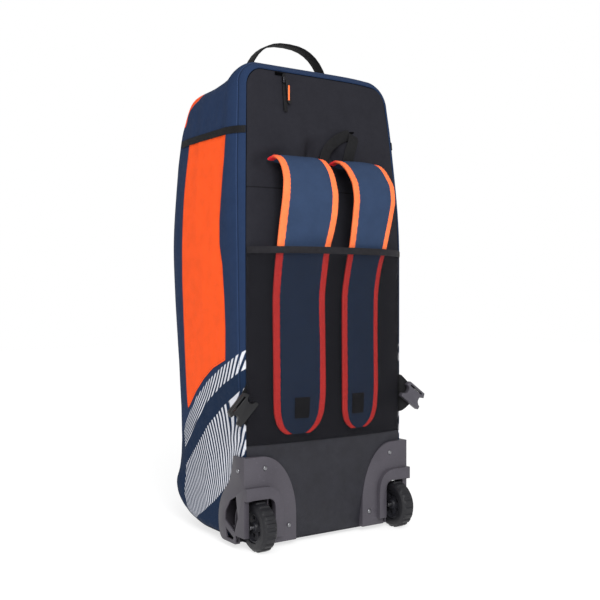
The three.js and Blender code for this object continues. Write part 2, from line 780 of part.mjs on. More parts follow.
function pocketSheet(rows, low, high) {
  const grid = (lift) => rows.map((level) => pocketColumns.map((share) => (
    pocketFace(share, level, lift)
  )));
  return sheetBetween(grid(high), grid(low));
}
add('stow_pocket', pocketSheet(
  [...pocketRows, 1 - bandShare - gap / pocketHeight],
  0,
  meshThickness,
), meshCloth);
add('pocket_band', pocketSheet([1 - bandShare, 1], 0, bandThickness), blackCloth);

// Shoulder straps: a padded core between two bindings
const strapBase = baseHeight + strapFootHeight;
function strapEdge(at, side, inner) {
  const column = side === 'left'
    ? (inner ? 'innerL' : 'outerL')
    : (inner ? 'outerR' : 'innerR');
  const start = side === 'left' ? leftStrapX : rightStrapX;
  const inset = (follow(strapRows, 'inset', at) * strapWidth) / 2;
  const x = inner ? start + strapWidth - inset : start + inset;
  const z = strapBase + strapFall * follow(strapRows, 'height', at);
  return new THREE.Vector3(x, -strapReach * follow(strapRows, column, at), z);
}

// A place on a strap: across runs 0 to 1 from its left edge to its right one, and sink is
// how far below the outer face it lies
function strapPoint(side, at, across, sink) {
  const step = 0.004;
  const place = (where) => strapEdge(where, side, false).lerp(strapEdge(where, side, true), across);
  const along = place(Math.min(at + step, 1)).sub(place(Math.max(at - step, 0)));
  const inward = new THREE.Vector3(0, along.z, -along.y).normalize().negate();
  return place(at).addScaledVector(inward, sink);
}

const strapSteps = [
  0, 0.022, 0.045, 0.075, 0.11, 0.15, 0.2, 0.25, 0.31, 0.37, 0.41, 0.45, 0.54, 0.68, 0.82, 0.9,
  0.93, 0.955, 0.98, 1,
];

function strapBody(side, low, high, thin, thick, crown, steps) {
  const shares = low === 0 || high === 1 ? [0, 1] : spread(0, 1, 4);
  const rings = steps.map((at) => {
    const width = strapEdge(at, side, true).x - strapEdge(at, side, false).x;
    const from = low === 0 ? 0 : low / width;
    const to = high === 1 ? 1 : 1 - high / width;
    const across = shares.map((share) => {
      const edge = low === 0 ? [0, (bindingWidth - gap) / width] : [1 - (bindingWidth - gap) / width, 1];
      if (low === 0 || high === 1) return THREE.MathUtils.lerp(edge[0], edge[1], share);
      return THREE.MathUtils.lerp(from, to, share);
    });
    const bulge = (k) => Math.sin((k / (shares.length - 1)) * Math.PI);
    const face = across.map((a, k) => strapPoint(side, at, a, -crown * bulge(k)));
    const back = across.map((a, k) => (
      strapPoint(side, at, a, thin + (thick - thin - crown) * bulge(k))
    ));
    return [...face, ...back.reverse()];
  });
  return bodyThrough(rings);
}

['left', 'right'].forEach((side) => {
  add(`strap_${side}`, strapBody(
    side,
    bindingWidth,
    bindingWidth,
    strapEdgeThickness,
    strapThickness,
    3,
    strapSteps,
  ), navyCloth);
  add(`strap_${side}_binding_a`, strapBody(side, 0, 0.5, bindingThickness, 0, 0, strapSteps), orangeCloth);
  add(`strap_${side}_binding_b`, strapBody(side, 0.5, 1, bindingThickness, 0, 0, strapSteps), orangeCloth);
});

// Webbing tab sewn on the foot of each strap
const tabGap = 3.5;
['left', 'right'].forEach((side) => {
  const middle = side === 'left' ? 0.52 : 0.46;
  const half = tabWidth / strapWidth / 2;
  const tabLow = 0.93;
  const steps = spread(tabLow - tabLength / strapFall, tabLow, 3);
  const rings = steps.map((at) => {
    const corner = (share, lift) => strapPoint(side, at, middle + share * half, -lift);
    return [
      corner(-1, tabGap),
      corner(1, tabGap),
      corner(1, tabGap + webbingThickness),
      corner(-1, tabGap + webbingThickness),
    ];
  });
  add(`strap_tab_${side}`, bodyThrough(rings), webbing);
});

// Y of the back face where a tape of a width lies on it, at the tape's middle or lower edge
function tapeSeat(x, z, width) {
  return Math.min(backFaceY(x, z), backFaceY(x, z - width / 2));
}

// Tape that lies on the back panel: middle points as X and Z
function panelTape(middle, width, thickness, lift = 3 * gap) {
  const points = middle.map(([x, z]) => {
    return new THREE.Vector3(x, tapeSeat(x, z, width) - lift - thickness / 2, z);
  });
  const rings = points.map((point, k) => {
    const before = points[Math.max(k - 1, 0)];
    const after = points[Math.min(k + 1, points.length - 1)];
    const along = new THREE.Vector3().subVectors(after, before).normalize();
    const up = new THREE.Vector3(0, -1, 0);
    const side = new THREE.Vector3().crossVectors(along, up).normalize();
    const corner = (s, n) => point.clone()
      .addScaledVector(side, (s * width) / 2)
      .addScaledVector(up, (n * thickness) / 2);
    return [corner(-1, -1), corner(1, -1), corner(1, 1), corner(-1, 1)];
  });
  return bodyThrough(rings);
}
const rootHeight = strapBase + strapFall;
add('haul_webbing_left', panelTape([
  [leftStrapX + strapWidth + 84, rootHeight + 60],
  [leftStrapX + strapWidth + 62, rootHeight + 50],
  [leftStrapX + strapWidth + 22, rootHeight + 32],
  [leftStrapX + strapWidth + 14, rootHeight + 4],
  [leftStrapX + strapWidth + 14, rootHeight - 24],
], webbingWidth, webbingThickness), webbing);
add('haul_webbing_right', panelTape([
  [rightStrapX + 66, rootHeight + 34],
  [rightStrapX + 53, rootHeight + 20],
  [rightStrapX + 46, rootHeight + 7],
], webbingWidth, webbingThickness), webbing);

// Zip on the upper left of the strap face: tape, slider, and a puller with its grip
const zipTop = topHeight - 4 * panelInset;
const zipMiddle = spread(zipTop - zipLength, zipTop, 4).map((z) => [zipX, z]);
add('zip_tape', panelTape(zipMiddle, zipWidth, webbingThickness, 1.5 * gap), webbing);
const sliderZ = zipTop - 8;
const sliderHalf = 6;
const sliderSeat = Math.min(
  tapeSeat(zipX, sliderZ - sliderHalf, zipWidth),
  tapeSeat(zipX, sliderZ + sliderHalf, zipWidth),
);
const sliderY = sliderSeat - webbingThickness - 3.5 * gap;
add('zip_slider', block(
  [zipX - 5, sliderY - 4, sliderZ - sliderHalf],
  [zipX + 5, sliderY, sliderZ + sliderHalf],
), steel);
const pullerShape = new THREE.Shape();
pullerShape.absarc(0, -42, 4.5, Math.PI, 2 * Math.PI, false);
pullerShape.lineTo(3.5, 0);
pullerShape.lineTo(-3.5, 0);
pullerShape.closePath();
const puller = plateAlongY(pullerShape, -2, 0, 6);
puller.rotateY(-0.14);
puller.translate(zipX + 3, sliderY - 4 - gap, sliderZ);
add('zip_puller', puller, orangeCloth);

// Top handle: a webbing arch whose ends fold inward and lie on the top gusset
const handleAt = 0.47;
const handleSquareness = 0.8;
const handleHalfAt = handleWidth / bagDepth / 2;
const handleSeat = Math.max(
  shellPoint(2.5, handleAt - handleHalfAt).z,
  shellPoint(2.5, handleAt + handleHalfAt).z,
);
const handleY = shellPoint(2.5, handleAt).y;
const handleArch = spread(0, 1, 18).map((share) => {
  const angle = Math.PI * (0.05 + 0.9 * share);
  return [
    -handleSpan * Math.sign(Math.cos(angle)) * Math.abs(Math.cos(angle)) ** handleSquareness,
    handleRise * Math.sin(angle),
  ];
});
const handleFoot = [
  [handleSpan - handleTab, 0],
  [handleSpan - 3 * handleThickness, 0],
  [handleSpan - handleThickness, handleThickness],
];
const handlePath = [
  ...handleFoot.map(([x, z]) => [-x, z]),
  ...handleArch,
  ...handleFoot.slice().reverse(),
].map(([x, z]) => (
  new THREE.Vector3(x + handleShift, handleY, handleSeat + 2 * gap + handleThickness / 2 + z)
));
add('top_handle', ribbon(handlePath, new THREE.Vector3(0, 1, 0), handleWidth, handleThickness), webbing);

// Half a side-release buckle, drawn flat: length across, width upward
function buckleBody() {
  const half = buckleLength / 2;
  const neck = buckleLength * 0.3;
  const low = -buckleWidth / 2;
  const shape = new THREE.Shape();
  shape.moveTo(-half, low);
  shape.lineTo(half, low);
  shape.lineTo(half, low + 6);
  shape.quadraticCurveTo(neck, low + 8, neck, 0);
  shape.quadraticCurveTo(neck, 7, half, 7);
  shape.lineTo(half - 3, buckleWidth / 2);
  shape.lineTo(-half + 3, buckleWidth / 2);
  shape.lineTo(-half, 7);
  shape.quadraticCurveTo(-neck, 7, -neck, 0);
  shape.quadraticCurveTo(-neck, low + 8, -half, low + 6);
  shape.closePath();
  const slot = new THREE.Path();
  slot.moveTo(-half + 7, buckleWidth / 2 - 3);
  slot.lineTo(-half + 7, buckleWidth / 2 - 6);
  slot.lineTo(half - 7, buckleWidth / 2 - 6);
  slot.lineTo(half - 7, buckleWidth / 2 - 3);
  slot.closePath();
  shape.holes.push(slot);
  return plateAlongY(shape, -buckleThickness, 0, 4);
}
const tabPlate = (points) => plateAlongY(shapeFrom(points), -webbingThickness, 0);
const buckleZ = kickTop + 73;

// Each half hangs out past the strap face's edge on a triangular tab from the seam
const buckleTab = tabPlate([[0, -38], [8, -30], [30, 6], [8, 34], [0, 44]]);
buckleTab.translate(halfPanel + gap, -2 * gap, buckleZ);
add('buckle_tab_right', buckleTab, webbing);
add('buckle_tab_left', mirrored(buckleTab), webbing);
const buckleRightPiece = buckleBody();
buckleRightPiece.rotateY(0.62);
buckleRightPiece.translate(halfPanel + 20, -7 * gap - webbingThickness, buckleZ);
add('buckle_right', buckleRightPiece, bucklePlastic);
const buckleLeftPiece = buckleBody();
buckleLeftPiece.rotateY(-0.8);
buckleLeftPiece.translate(-halfPanel - 17, -9 * gap - webbingThickness, buckleZ);
add('buckle_left', buckleLeftPiece, bucklePlastic);

// Wheel housings with their rivets, axles and wheels
const housingGeometry = geometryOf(housing);
addToSides('wheel_housing', housingGeometry, mouldedGrey);

function buildRivet() {
  const profile = [[0, 0], [1, 0], [0.7, 0.35], [0, 0.5]];
  const rivet = new THREE.LatheGeometry(
    profile.map(([r, h]) => new THREE.Vector2(r * rivetRadius, h * rivetRadius)),
    10,
  );
  return rivet.rotateX(Math.PI);
}
const rivetPlaces = [
  { name: 'rivet_top', x: 36, z: housingFloor + housingHeight - 22 },
  { name: 'rivet_low', x: 90, z: housingFloor + 30 },
];
rivetPlaces.forEach(({ name, x, z }) => {
  addToSides(name, buildRivet().translate(-halfPanel + x, -housingProud - gap, z), steel);
});
addToSides('rivet_side', buildRivet().rotateZ(-Math.PI / 2).translate(
  housingSideX - gap,
  housingReach * 0.2,
  housingFloor + housingHeight - 26,
), steel);

// A tyre with lugs round its rim
function buildTyre() {
  const outline = new THREE.Shape();
  const step = (2 * Math.PI) / lugCount;
  for (let k = 0; k < lugCount; k += 1) {
    const start = k * step;
    [[0.04, 0], [0.5, 0], [0.58, lugDepth], [0.96, lugDepth]].forEach(([share, sink], n) => {
      const angle = start + share * step;
      const radius = wheelRadius - sink;
      const [y, z] = [radius * Math.cos(angle), radius * Math.sin(angle)];
      if (k === 0 && n === 0) outline.moveTo(y, z);
      else outline.lineTo(y, z);
    });
  }
  outline.closePath();
  const tread = solidOf(plateAlongX(outline, -wheelWidth / 2, wheelWidth / 2));
  const bore = solidOf(rod(hubRadius + gap, -wheelWidth, wheelWidth, 0, 0, 32));
  const crown = new THREE.LatheGeometry([
    [0, -wheelWidth / 2],
    [wheelRadius * 0.86, -wheelWidth / 2],
    [wheelRadius, -wheelWidth / 2 + 6],
    [wheelRadius, wheelWidth / 2 - 6],
    [wheelRadius * 0.86, wheelWidth / 2],
    [0, wheelWidth / 2],
  ].map(([r, h]) => new THREE.Vector2(r, h)), 40);
  crown.rotateZ(-Math.PI / 2);
  return tread.intersect(solidOf(crown)).subtract(bore);
}

// A hub dished on both faces, with five openings between its spokes
function buildHub() {
  const half = wheelWidth / 2 - 2;
  const profile = [
    [axleRadius + gap, -half],
    [axleRadius + 5, -half],
    [axleRadius + 6, -half + 5],
    [hubRadius - 5, -half + 5],
    [hubRadius - 3, -half],
    [hubRadius, -half],
    [hubRadius, half],
    [hubRadius - 3, half],
    [hubRadius - 5, half - 5],
    [axleRadius + 6, half - 5],
    [axleRadius + 5, half],
    [axleRadius + gap, half],
    [axleRadius + gap, -half],
  ];
  const disc = new THREE.LatheGeometry(profile.map(([r, h]) => new THREE.Vector2(r, h)), 16);
  disc.rotateZ(-Math.PI / 2);
  let hub = solidOf(disc);
  for (let k = 0; k < 5; k += 1) {
    const angle = (k * 2 * Math.PI) / 5;
    const radius = (axleRadius + hubRadius) / 2 + 1;
    hub = hub.subtract(solidOf(rod(
      5,
      -wheelWidth,
      wheelWidth,
      radius * Math.cos(angle),
      radius * Math.sin(angle),
      6,
    )));
  }
  return hub;
}
const tyreGeometry = geometryOf(buildTyre());
const hubGeometry = geometryOf(buildHub());
const placed = (geometry) => geometry.clone().translate(-wheelX, wheelY, wheelRadius);
const axleRod = rod(axleRadius, wellLow + gap, wellHigh - gap, wheelY, wheelRadius, 12);
addToSides('tyre', placed(tyreGeometry), tyreRubber);
addToSides('hub', placed(hubGeometry), hubPlastic);
addToSides('axle', axleRod, steel);

// Two plain feet under the front, each as tall as the base is high at its two edges
const footBack = bagDepth * footPlace;
const footFront = footBack + footWidth;
const baseAt = (y) => (
  baseHeight + shellHeight * follow(sections, 'foot', (y - edgeSetback) / (bagDepth - edgeSetback))
);
const footShape = shapeFrom([
  [footBack, 0],
  [footFront, 0],
  [footFront, baseAt(footFront) - gap],
  [footBack, baseAt(footBack) - gap],
]);
const foot = plateAlongX(footShape, footInset - halfPanel, footInset - halfPanel + footLength);
addToSides('foot', foot, mouldedGrey);

// The origin is under the middle of the whole bag
const bounds = new THREE.Box3().setFromObject(model);
const middle = bounds.getCenter(new THREE.Vector3());
model.position.set(-middle.x, -middle.y, -bounds.min.z);

export default model;
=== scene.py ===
import itertools
import math
from functools import partialmethod

import bmesh
import bpy
import numpy as np
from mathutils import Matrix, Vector


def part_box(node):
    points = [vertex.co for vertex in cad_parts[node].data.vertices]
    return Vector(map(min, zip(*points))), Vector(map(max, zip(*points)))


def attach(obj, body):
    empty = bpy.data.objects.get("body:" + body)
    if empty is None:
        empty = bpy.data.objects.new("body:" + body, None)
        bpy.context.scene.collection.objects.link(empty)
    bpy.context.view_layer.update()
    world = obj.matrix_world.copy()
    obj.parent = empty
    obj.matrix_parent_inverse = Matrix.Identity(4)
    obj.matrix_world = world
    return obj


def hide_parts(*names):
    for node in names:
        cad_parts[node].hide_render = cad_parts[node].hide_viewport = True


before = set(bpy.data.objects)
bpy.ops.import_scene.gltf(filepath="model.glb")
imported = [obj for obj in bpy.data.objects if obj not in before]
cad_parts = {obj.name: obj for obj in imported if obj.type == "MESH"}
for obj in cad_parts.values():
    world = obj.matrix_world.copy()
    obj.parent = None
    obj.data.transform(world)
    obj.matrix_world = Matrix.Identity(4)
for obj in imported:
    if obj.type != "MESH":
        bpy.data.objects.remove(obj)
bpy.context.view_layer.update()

# Sizes of the shell
HALF_PANEL = 188.0
BAG_DEPTH = 318.0
SHELL_HEIGHT = 911.0
BASE_HEIGHT = 8.0
TOP_HEIGHT = BASE_HEIGHT + SHELL_HEIGHT
WALL = 2.4
GAP = 0.4
SIDE_SWELL = 14.0
FRONT_SWELL = 24.0
FRONT_CROWN = 12.0
BACK_SWELL = 3.0
EDGE_SETBACK = 9.0
FOOT_EASE = 0.09
CROWN_EASE = 0.22
SHOULDER_TAPER = 15.0
SHOULDER_LEAN = 22.0
SHOULDER_START = 552.0
FOOT_CORNER = 28.0
PANEL_INSET = WALL + GAP
PIECE_SHARP = 40.0

# Sizes of the strap face
KICK_TOP = 198.0
POCKET_HEIGHT = 375.0
POCKET_DEPTH = 56.0
BAND_HEIGHT = 13.0
STRAP_WIDTH = 111.0
STRAP_FALL = 530.0
STRAP_REACH = 78.0
STRAP_BASE = 216.0
LEFT_STRAP_X = -138.0
RIGHT_STRAP_X = 3.0
RIGHT_STRAP_FOLD = 11.0
BINDING = 15.0

# Sizes of the moulded corners: their arch springs at a share of their width and height, and the
# cloth is cut away inside them by more than the margin
HOUSING_WIDTH = 107.0
HOUSING_FLOOR = 10.0
HOUSING_HEIGHT = 167.0
HOUSING_TOP = HOUSING_FLOOR + HOUSING_HEIGHT
HOUSING_SPRING = 0.28
HOUSING_MARGIN = 7.0
HOUSING_SIDE = [
    (-20, 177), (38, 177), (42, 150), (57, 120), (78, 95), (92, 60), (92, 40), (70, 8), (-20, 8),
]

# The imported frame's origin, found from a foot whose place in the bag's own frame is known
FOOT_CORNER_AT = np.array([-128.0, BAG_DEPTH * 0.68, 0.0])
SHIFT = np.array(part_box("foot_left")[0]) * 1000.0 - FOOT_CORNER_AT

# Middle of the zip's grip, as X and Z of the bag's own frame
GRIP_AT = (np.mean(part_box("zip_puller"), axis=0) * 1000.0 - SHIFT)[[0, 2]]


def table(names, rows):
    columns = np.array(rows, dtype=float).T
    return dict(zip(names, columns))


# Sections of the shell from the strap face (0) to the front (1)
SECTIONS = table(("at", "side", "swell", "top", "foot", "corner"), [
    (0, 1, 0, 1, 0, 0.21),
    (0.03, 1, 0.45, 1.008, 0, 0.21),
    (0.075, 1, 0.8, 1.015, 0, 0.23),
    (0.14, 1, 1, 1.009, 0, 0.23),
    (0.23, 1, 1, 0.996, 0, 0.22),
    (0.5, 1, 1, 0.983, 0, 0.21),
    (0.68, 1, 0.9, 0.981, 0.008, 0.22),
    (0.79, 0.998, 0.7, 0.952, 0.017, 0.28),
    (0.88, 0.97, 0.45, 0.897, 0.034, 0.35),
    (0.95, 0.905, 0.25, 0.838, 0.061, 0.39),
    (1, 0.8, 0.15, 0.771, 0.082, 0.43),
])

# Swell of the sides and of the front by height
LEVELS = table(("at", "side", "front"), [
    (0, 0.7, 0),
    (0.08, 0.55, -0.16),
    (0.22, 0.35, -0.2),
    (0.4, 0.65, 0.92),
    (0.6, 1.16, 1.76),
    (0.8, 1.5, 1.14),
    (1, 1.28, 0.18),
])

# Depth of the stow pocket by height
POCKET_LEVELS = table(("at", "depth"), [
    (0, 0.04), (0.02, 0.2), (0.05, 0.36), (0.1, 0.48), (0.27, 0.57),
    (0.55, 0.54), (0.73, 0.54), (0.89, 0.77), (1, 1),
])

# Shoulder straps from the root (0) to the foot (1): the reach of their edges a and b, from the
# lower X to the higher
STRAP_ROWS = table(("at", "height", "left_a", "left_b", "right_a", "right_b", "inset"), [
    (0, 0.994, -0.14, -0.085, -0.085, -0.11, 0),
    (0.022, 1, 0.1, 0.12, 0.14, 0.1, 0),
    (0.045, 0.993, 0.26, 0.3, 0.34, 0.26, 0),
    (0.075, 0.974, 0.43, 0.48, 0.56, 0.45, 0),
    (0.11, 0.942, 0.56, 0.67, 0.77, 0.64, 0),
    (0.15, 0.902, 0.62, 0.79, 0.94, 0.81, 0),
    (0.2, 0.853, 0.59, 0.87, 1, 0.85, 0),
    (0.25, 0.8, 0.51, 0.84, 0.93, 0.77, 0),
    (0.31, 0.734, 0.41, 0.71, 0.8, 0.63, 0),
    (0.37, 0.674, 0.33, 0.54, 0.66, 0.5, 0),
    (0.45, 0.592, 0.22, 0.41, 0.46, 0.28, 0),
    (0.54, 0.483, 0.14, 0.3, 0.32, 0.15, 0),
    (0.68, 0.35, 0.15, 0.32, 0.32, 0.14, 0),
    (0.82, 0.16, 0.17, 0.34, 0.33, 0.16, 0),
    (0.9, 0.085, 0.16, 0.31, 0.3, 0.15, 0.03),
    (0.95, 0.04, 0.15, 0.26, 0.25, 0.15, 0.14),
    (0.98, 0.014, 0.14, 0.22, 0.21, 0.14, 0.32),
    (1, 0, 0.14, 0.2, 0.19, 0.14, 0.52),
])


BACK_CORNER = HALF_PANEL * SECTIONS["corner"][0] - PANEL_INSET


# Arithmetic
def smooth(value):
    t = np.clip(value, 0, 1)
    return t * t * (3 - 2 * t)


def eased(at, start, end):
    """0 at both ends of a run from 0 to 1, and 1 between a share at its start and its end."""
    return smooth(at / start) * smooth((1 - at) / end)


def rounded_section(wide, deep, count=16):
    """Cosines and sines of a whole turn, with fuller shoulders where a power is lower."""
    turns = np.linspace(0, 2 * math.pi, count + 1)[:-1]
    waves = ((np.cos(turns), wide), (np.sin(turns), deep))
    return [np.sign(wave) * abs(wave) ** power for wave, power in waves]


def quarter_turn(count):
    return np.linspace(0, 1, count) * math.pi / 2


def stretches(*parts):
    """Places along stretches (from, to, how many), each starting where the last one ends."""
    runs = [np.linspace(*part) for part in parts]
    return np.concatenate([runs[0], *(run[1:] for run in runs[1:])])


def unit(vectors):
    return vectors / np.linalg.norm(vectors, axis=-1, keepdims=True)


def pushed(points, by):
    moved = points.copy()
    moved[..., 1] += by
    return moved


def follow(rows, column, place):
    """A column of a table at a place between its rows, without overshoot."""
    xs, ys = rows["at"], rows[column]
    place = np.asarray(place, dtype=float)
    secants = np.diff(ys) / np.diff(xs)
    before, after = secants[:-1], secants[1:]
    kept = before * after > 0
    total = np.where(kept, before + after, 1.0)
    inner = np.where(kept, 2 * before * after / total, 0.0)
    slopes = np.concatenate(([secants[0]], inner, [secants[-1]]))
    row = np.clip(np.searchsorted(xs, place, side="left") - 1, 0, len(xs) - 2)
    span = xs[row + 1] - xs[row]
    t = np.clip((place - xs[row]) / span, 0, 1)
    rise = t * t * (3 - 2 * t)
    leave = t * (1 - t) ** 2 * span
    arrive = t * t * (t - 1) * span
    return (ys[row] * (1 - rise) + ys[row + 1] * rise
            + slopes[row] * leave + slopes[row + 1] * arrive)


CELLS = 32
LATTICE = np.random.default_rng(11).uniform(-1, 1, (CELLS, CELLS, CELLS))
LATTICE_START, SEED_STEP = 400.0, 7.31


def noise(points, size, seed):
    """Smooth random field, about -1 to 1, with lumps of the given size in millimetres."""
    p = np.asarray(points) / np.asarray(size, dtype=float) + seed * SEED_STEP + LATTICE_START
    low = np.floor(p).astype(int)
    t = p - low
    t = t * t * t * (t * (6 * t - 15) + 10)
    total = 0
    for corner in itertools.product((0, 1), repeat=3):
        share = np.prod(np.where(corner, t, 1 - t), axis=-1)
        x, y, z = np.moveaxis((low + corner) % CELLS, -1, 0)
        total = total + share * LATTICE[x, y, z]
    return total


def random_fields(points, rows):
    """Sum of random fields, each with its height, the size of its lumps and its seed."""
    return sum(height * noise(points, size, seed) for height, size, seed in rows)


def bump_at(points, centre, radii, angle=0.0):
    """1 at a centre in the plane of two axes, falling smoothly to 0 over the radii."""
    a = points[..., 0] - centre[0]
    b = points[..., 1] - centre[1]
    c, s = math.cos(angle), math.sin(angle)
    along, across = a * c + b * s, -a * s + b * c
    return np.exp(-((along / radii[0]) ** 2 + (across / radii[1]) ** 2))


def bumps(points, rows):
    return sum(height * bump_at(points, centre, radii, angle)
               for height, centre, radii, angle in rows)


def inside_distance(points, outline):
    """Distance to a closed outline in the plane, positive inside."""
    outline = np.asarray(outline, dtype=float)
    best = np.full(points.shape[:-1], 1e9)
    inside = np.zeros(points.shape[:-1], dtype=bool)
    x, y = points[..., 0], points[..., 1]
    for a, b in zip(outline, np.roll(outline, -1, axis=0)):
        d = b - a
        t = np.clip(((x - a[0]) * d[0] + (y - a[1]) * d[1]) / max(d @ d, 1e-9), 0, 1)
        best = np.minimum(best, np.hypot(x - a[0] - t * d[0], y - a[1] - t * d[1]))
        crosses = (a[1] > y) != (b[1] > y)
        rise = np.where(abs(b[1] - a[1]) < 1e-9, 1e-9, b[1] - a[1])
        inside ^= crosses & (x < (b[0] - a[0]) * (y - a[1]) / rise + a[0])
    return np.where(inside, best, -best)


# The shell's surface
def shoulder(z):
    return smooth((z - BASE_HEIGHT - SHOULDER_START) / (SHELL_HEIGHT - SHOULDER_START))


def height_share(z):
    return (z - BASE_HEIGHT) / SHELL_HEIGHT


def taper(z):
    return 1 - SHOULDER_TAPER / HALF_PANEL * shoulder(z)


def lean(z, at):
    return SHOULDER_LEAN * shoulder(z) * (1 - at)


def section_point(u, at):
    half = HALF_PANEL * follow(SECTIONS, "side", at)
    top = BASE_HEIGHT + SHELL_HEIGHT * follow(SECTIONS, "top", at)
    foot = BASE_HEIGHT + SHELL_HEIGHT * follow(SECTIONS, "foot", at)
    upper = HALF_PANEL * follow(SECTIONS, "corner", at)
    turn = np.mod(u, 8)
    leg = np.floor(turn).astype(int)
    t = turn - leg

    def mix(a, b):
        return a + (b - a) * t

    def arc(x, z, radius, start):
        angle = start - t * math.pi / 2
        return x + radius * np.cos(angle), z + radius * np.sin(angle)

    legs = [
        (-half, mix(foot + FOOT_CORNER, top - upper)),
        arc(-half + upper, top - upper, upper, math.pi),
        (mix(-half + upper, half - upper), top),
        arc(half - upper, top - upper, upper, math.pi / 2),
        (half, mix(top - upper, foot + FOOT_CORNER)),
        arc(half - FOOT_CORNER, foot + FOOT_CORNER, FOOT_CORNER, 0.0),
        (mix(half - FOOT_CORNER, -half + FOOT_CORNER), foot),
        arc(-half + FOOT_CORNER, foot + FOOT_CORNER, FOOT_CORNER, -math.pi / 2),
    ]
    shape = np.broadcast(u, at).shape
    x, z = np.zeros(shape), np.zeros(shape)
    for k, (lx, lz) in enumerate(legs):
        x = np.where(leg == k, lx, x)
        z = np.where(leg == k, lz, z)
    return x, z


def shell_point(u, at):
    u, at = np.broadcast_arrays(np.asarray(u, float), np.asarray(at, float))
    x, z = section_point(u, at)
    share = height_share(z)
    near_side = abs(x / HALF_PANEL) ** 4
    swell = SIDE_SWELL * follow(SECTIONS, "swell", at) * follow(LEVELS, "side", share)
    forward = FRONT_SWELL * follow(LEVELS, "front", share) * at ** 4
    return np.stack([
        x * taper(z) + np.sign(x) * swell * near_side,
        BAG_DEPTH * at + EDGE_SETBACK * (1 - at) + lean(z, at) + forward,
        z,
    ], axis=-1)


def shell_normal(u, at):
    step = 0.002
    low, high = np.maximum(at - step, 0), np.minimum(at + step, 1)
    along_u = shell_point(u + step, at) - shell_point(u - step, at)
    along_at = shell_point(u, high) - shell_point(u, low)
    return unit(np.cross(along_u, along_at))


def back_face_y(x, z):
    across = 1 - abs(x / HALF_PANEL) ** 3
    up = eased(height_share(z), FOOT_EASE, CROWN_EASE)
    return lean(z, 0) + EDGE_SETBACK - (EDGE_SETBACK + BACK_SWELL) * across * up


def half_width_at(z, half, top, top_corner, foot, foot_radius):
    above = z - (top - top_corner)
    below = (foot + foot_radius) - z
    upper = half - top_corner + np.sqrt(np.maximum(top_corner ** 2 - above ** 2, 0))
    lower = half - foot_radius + np.sqrt(np.maximum(foot_radius ** 2 - below ** 2, 0))
    return np.where(above > 0, upper, np.where(below > 0, lower, half))


def pocket_face(share, level, lift):
    z = KICK_TOP + POCKET_HEIGHT * level
    depth = POCKET_DEPTH * follow(POCKET_LEVELS, "depth", level) * (1 - abs(share) ** 3)
    x = share * (HALF_PANEL - 4 * GAP)
    return np.stack([x, back_face_y(x, z) - GAP - depth - lift, z + 0 * x], axis=-1)


def strap_edge(at, side, edge):
    start = LEFT_STRAP_X if side == "left" else RIGHT_STRAP_X
    inset = follow(STRAP_ROWS, "inset", at) * STRAP_WIDTH / 2
    x = start + STRAP_WIDTH - inset if edge == "b" else start + inset
    if (side, edge) == ("right", "a"):
        # Its lower run is folded narrower under the mesh
        x = x + RIGHT_STRAP_FOLD * smooth((at - 0.16) / 0.3)
    z = STRAP_BASE + STRAP_FALL * follow(STRAP_ROWS, "height", at)
    return np.stack([x, -STRAP_REACH * follow(STRAP_ROWS, f"{side}_{edge}", at), z], axis=-1)


def strap_point(side, at, across, sink):
    """A place on a strap: across runs 0 to 1, sink is how far below the outer face it lies."""
    at, across, sink = np.broadcast_arrays(np.asarray(at, float), across, sink)

    def place(where):
        a, b = strap_edge(where, side, "a"), strap_edge(where, side, "b")
        return a + (b - a) * across[..., None]

    step = 0.004
    along = place(np.minimum(at + step, 1)) - place(np.maximum(at - step, 0))
    inward = np.stack([0 * at, -along[..., 2], along[..., 1]], axis=-1)
    return place(at) + unit(inward) * sink[..., None]


# Making meshes
def new_piece(name, points, faces, look, marks):
    """A mesh object from points in the bag's own millimetres."""
    mesh = bpy.data.meshes.new(name)
    metres = (np.asarray(points, dtype=float) + SHIFT) * 0.001
    mesh.from_pydata(metres.tolist(), [], [tuple(int(v) for v in f) for f in faces])
    add_marks(mesh, marks)
    mesh.validate()
    mesh.shade_smooth()
    mesh.set_sharp_from_angle(angle=math.radians(PIECE_SHARP))
    mesh.materials.append(look)
    piece = place_object(name, mesh)
    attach(piece, "root")
    return piece


def add_marks(mesh, marks):
    for mark, values in marks.items():
        layer = mesh.attributes.new(mark, "FLOAT", "POINT")
        layer.data.foreach_set("value", np.asarray(values, dtype=np.float32).ravel())


def grid_faces(keep, flip=False):
    """Quads of a grid of points for the cells to keep, and the directed edges of their rim."""
    rows, columns = keep.shape[0] + 1, keep.shape[1] + 1
    i, j = np.nonzero(keep)
    a = i * columns + j
    quads = np.stack([a, a + 1, a + columns + 1, a + columns], axis=1)
    if flip:
        quads = quads[:, ::-1]
    edges = np.concatenate([quads[:, [k, (k + 1) % 4]] for k in range(4)])
    forward = edges[:, 0] * rows * columns + edges[:, 1]
    backward = edges[:, 1] * rows * columns + edges[:, 0]
    rim = edges[~np.isin(forward, backward)]
    return quads, rim


def sheet_piece(name, face, back, look, marks=None, keep=None, flip=False):
    """A thin closed sheet between two grids of points."""
    rows, columns = face.shape[:2]
    keep = np.ones((rows - 1, columns - 1), bool) if keep is None else keep
    quads, rim = grid_faces(keep, flip)
    under = rows * columns
    sides = np.stack([rim[:, 1], rim[:, 0], rim[:, 0] + under, rim[:, 1] + under], axis=1)
    points = np.concatenate([face.reshape(-1, 3), back.reshape(-1, 3)])
    faces = np.concatenate([quads, quads[:, ::-1] + under, sides])
    used, renumbered = np.unique(faces, return_inverse=True)
    marks = {"s": arc_lengths(face, 1), "t": arc_lengths(face, 0), **(marks or {})}
    doubled = {k: np.concatenate([np.ravel(v), np.ravel(v)])[used] for k, v in marks.items()}
    return new_piece(name, points[used], renumbered.reshape(-1, 4), look, doubled)


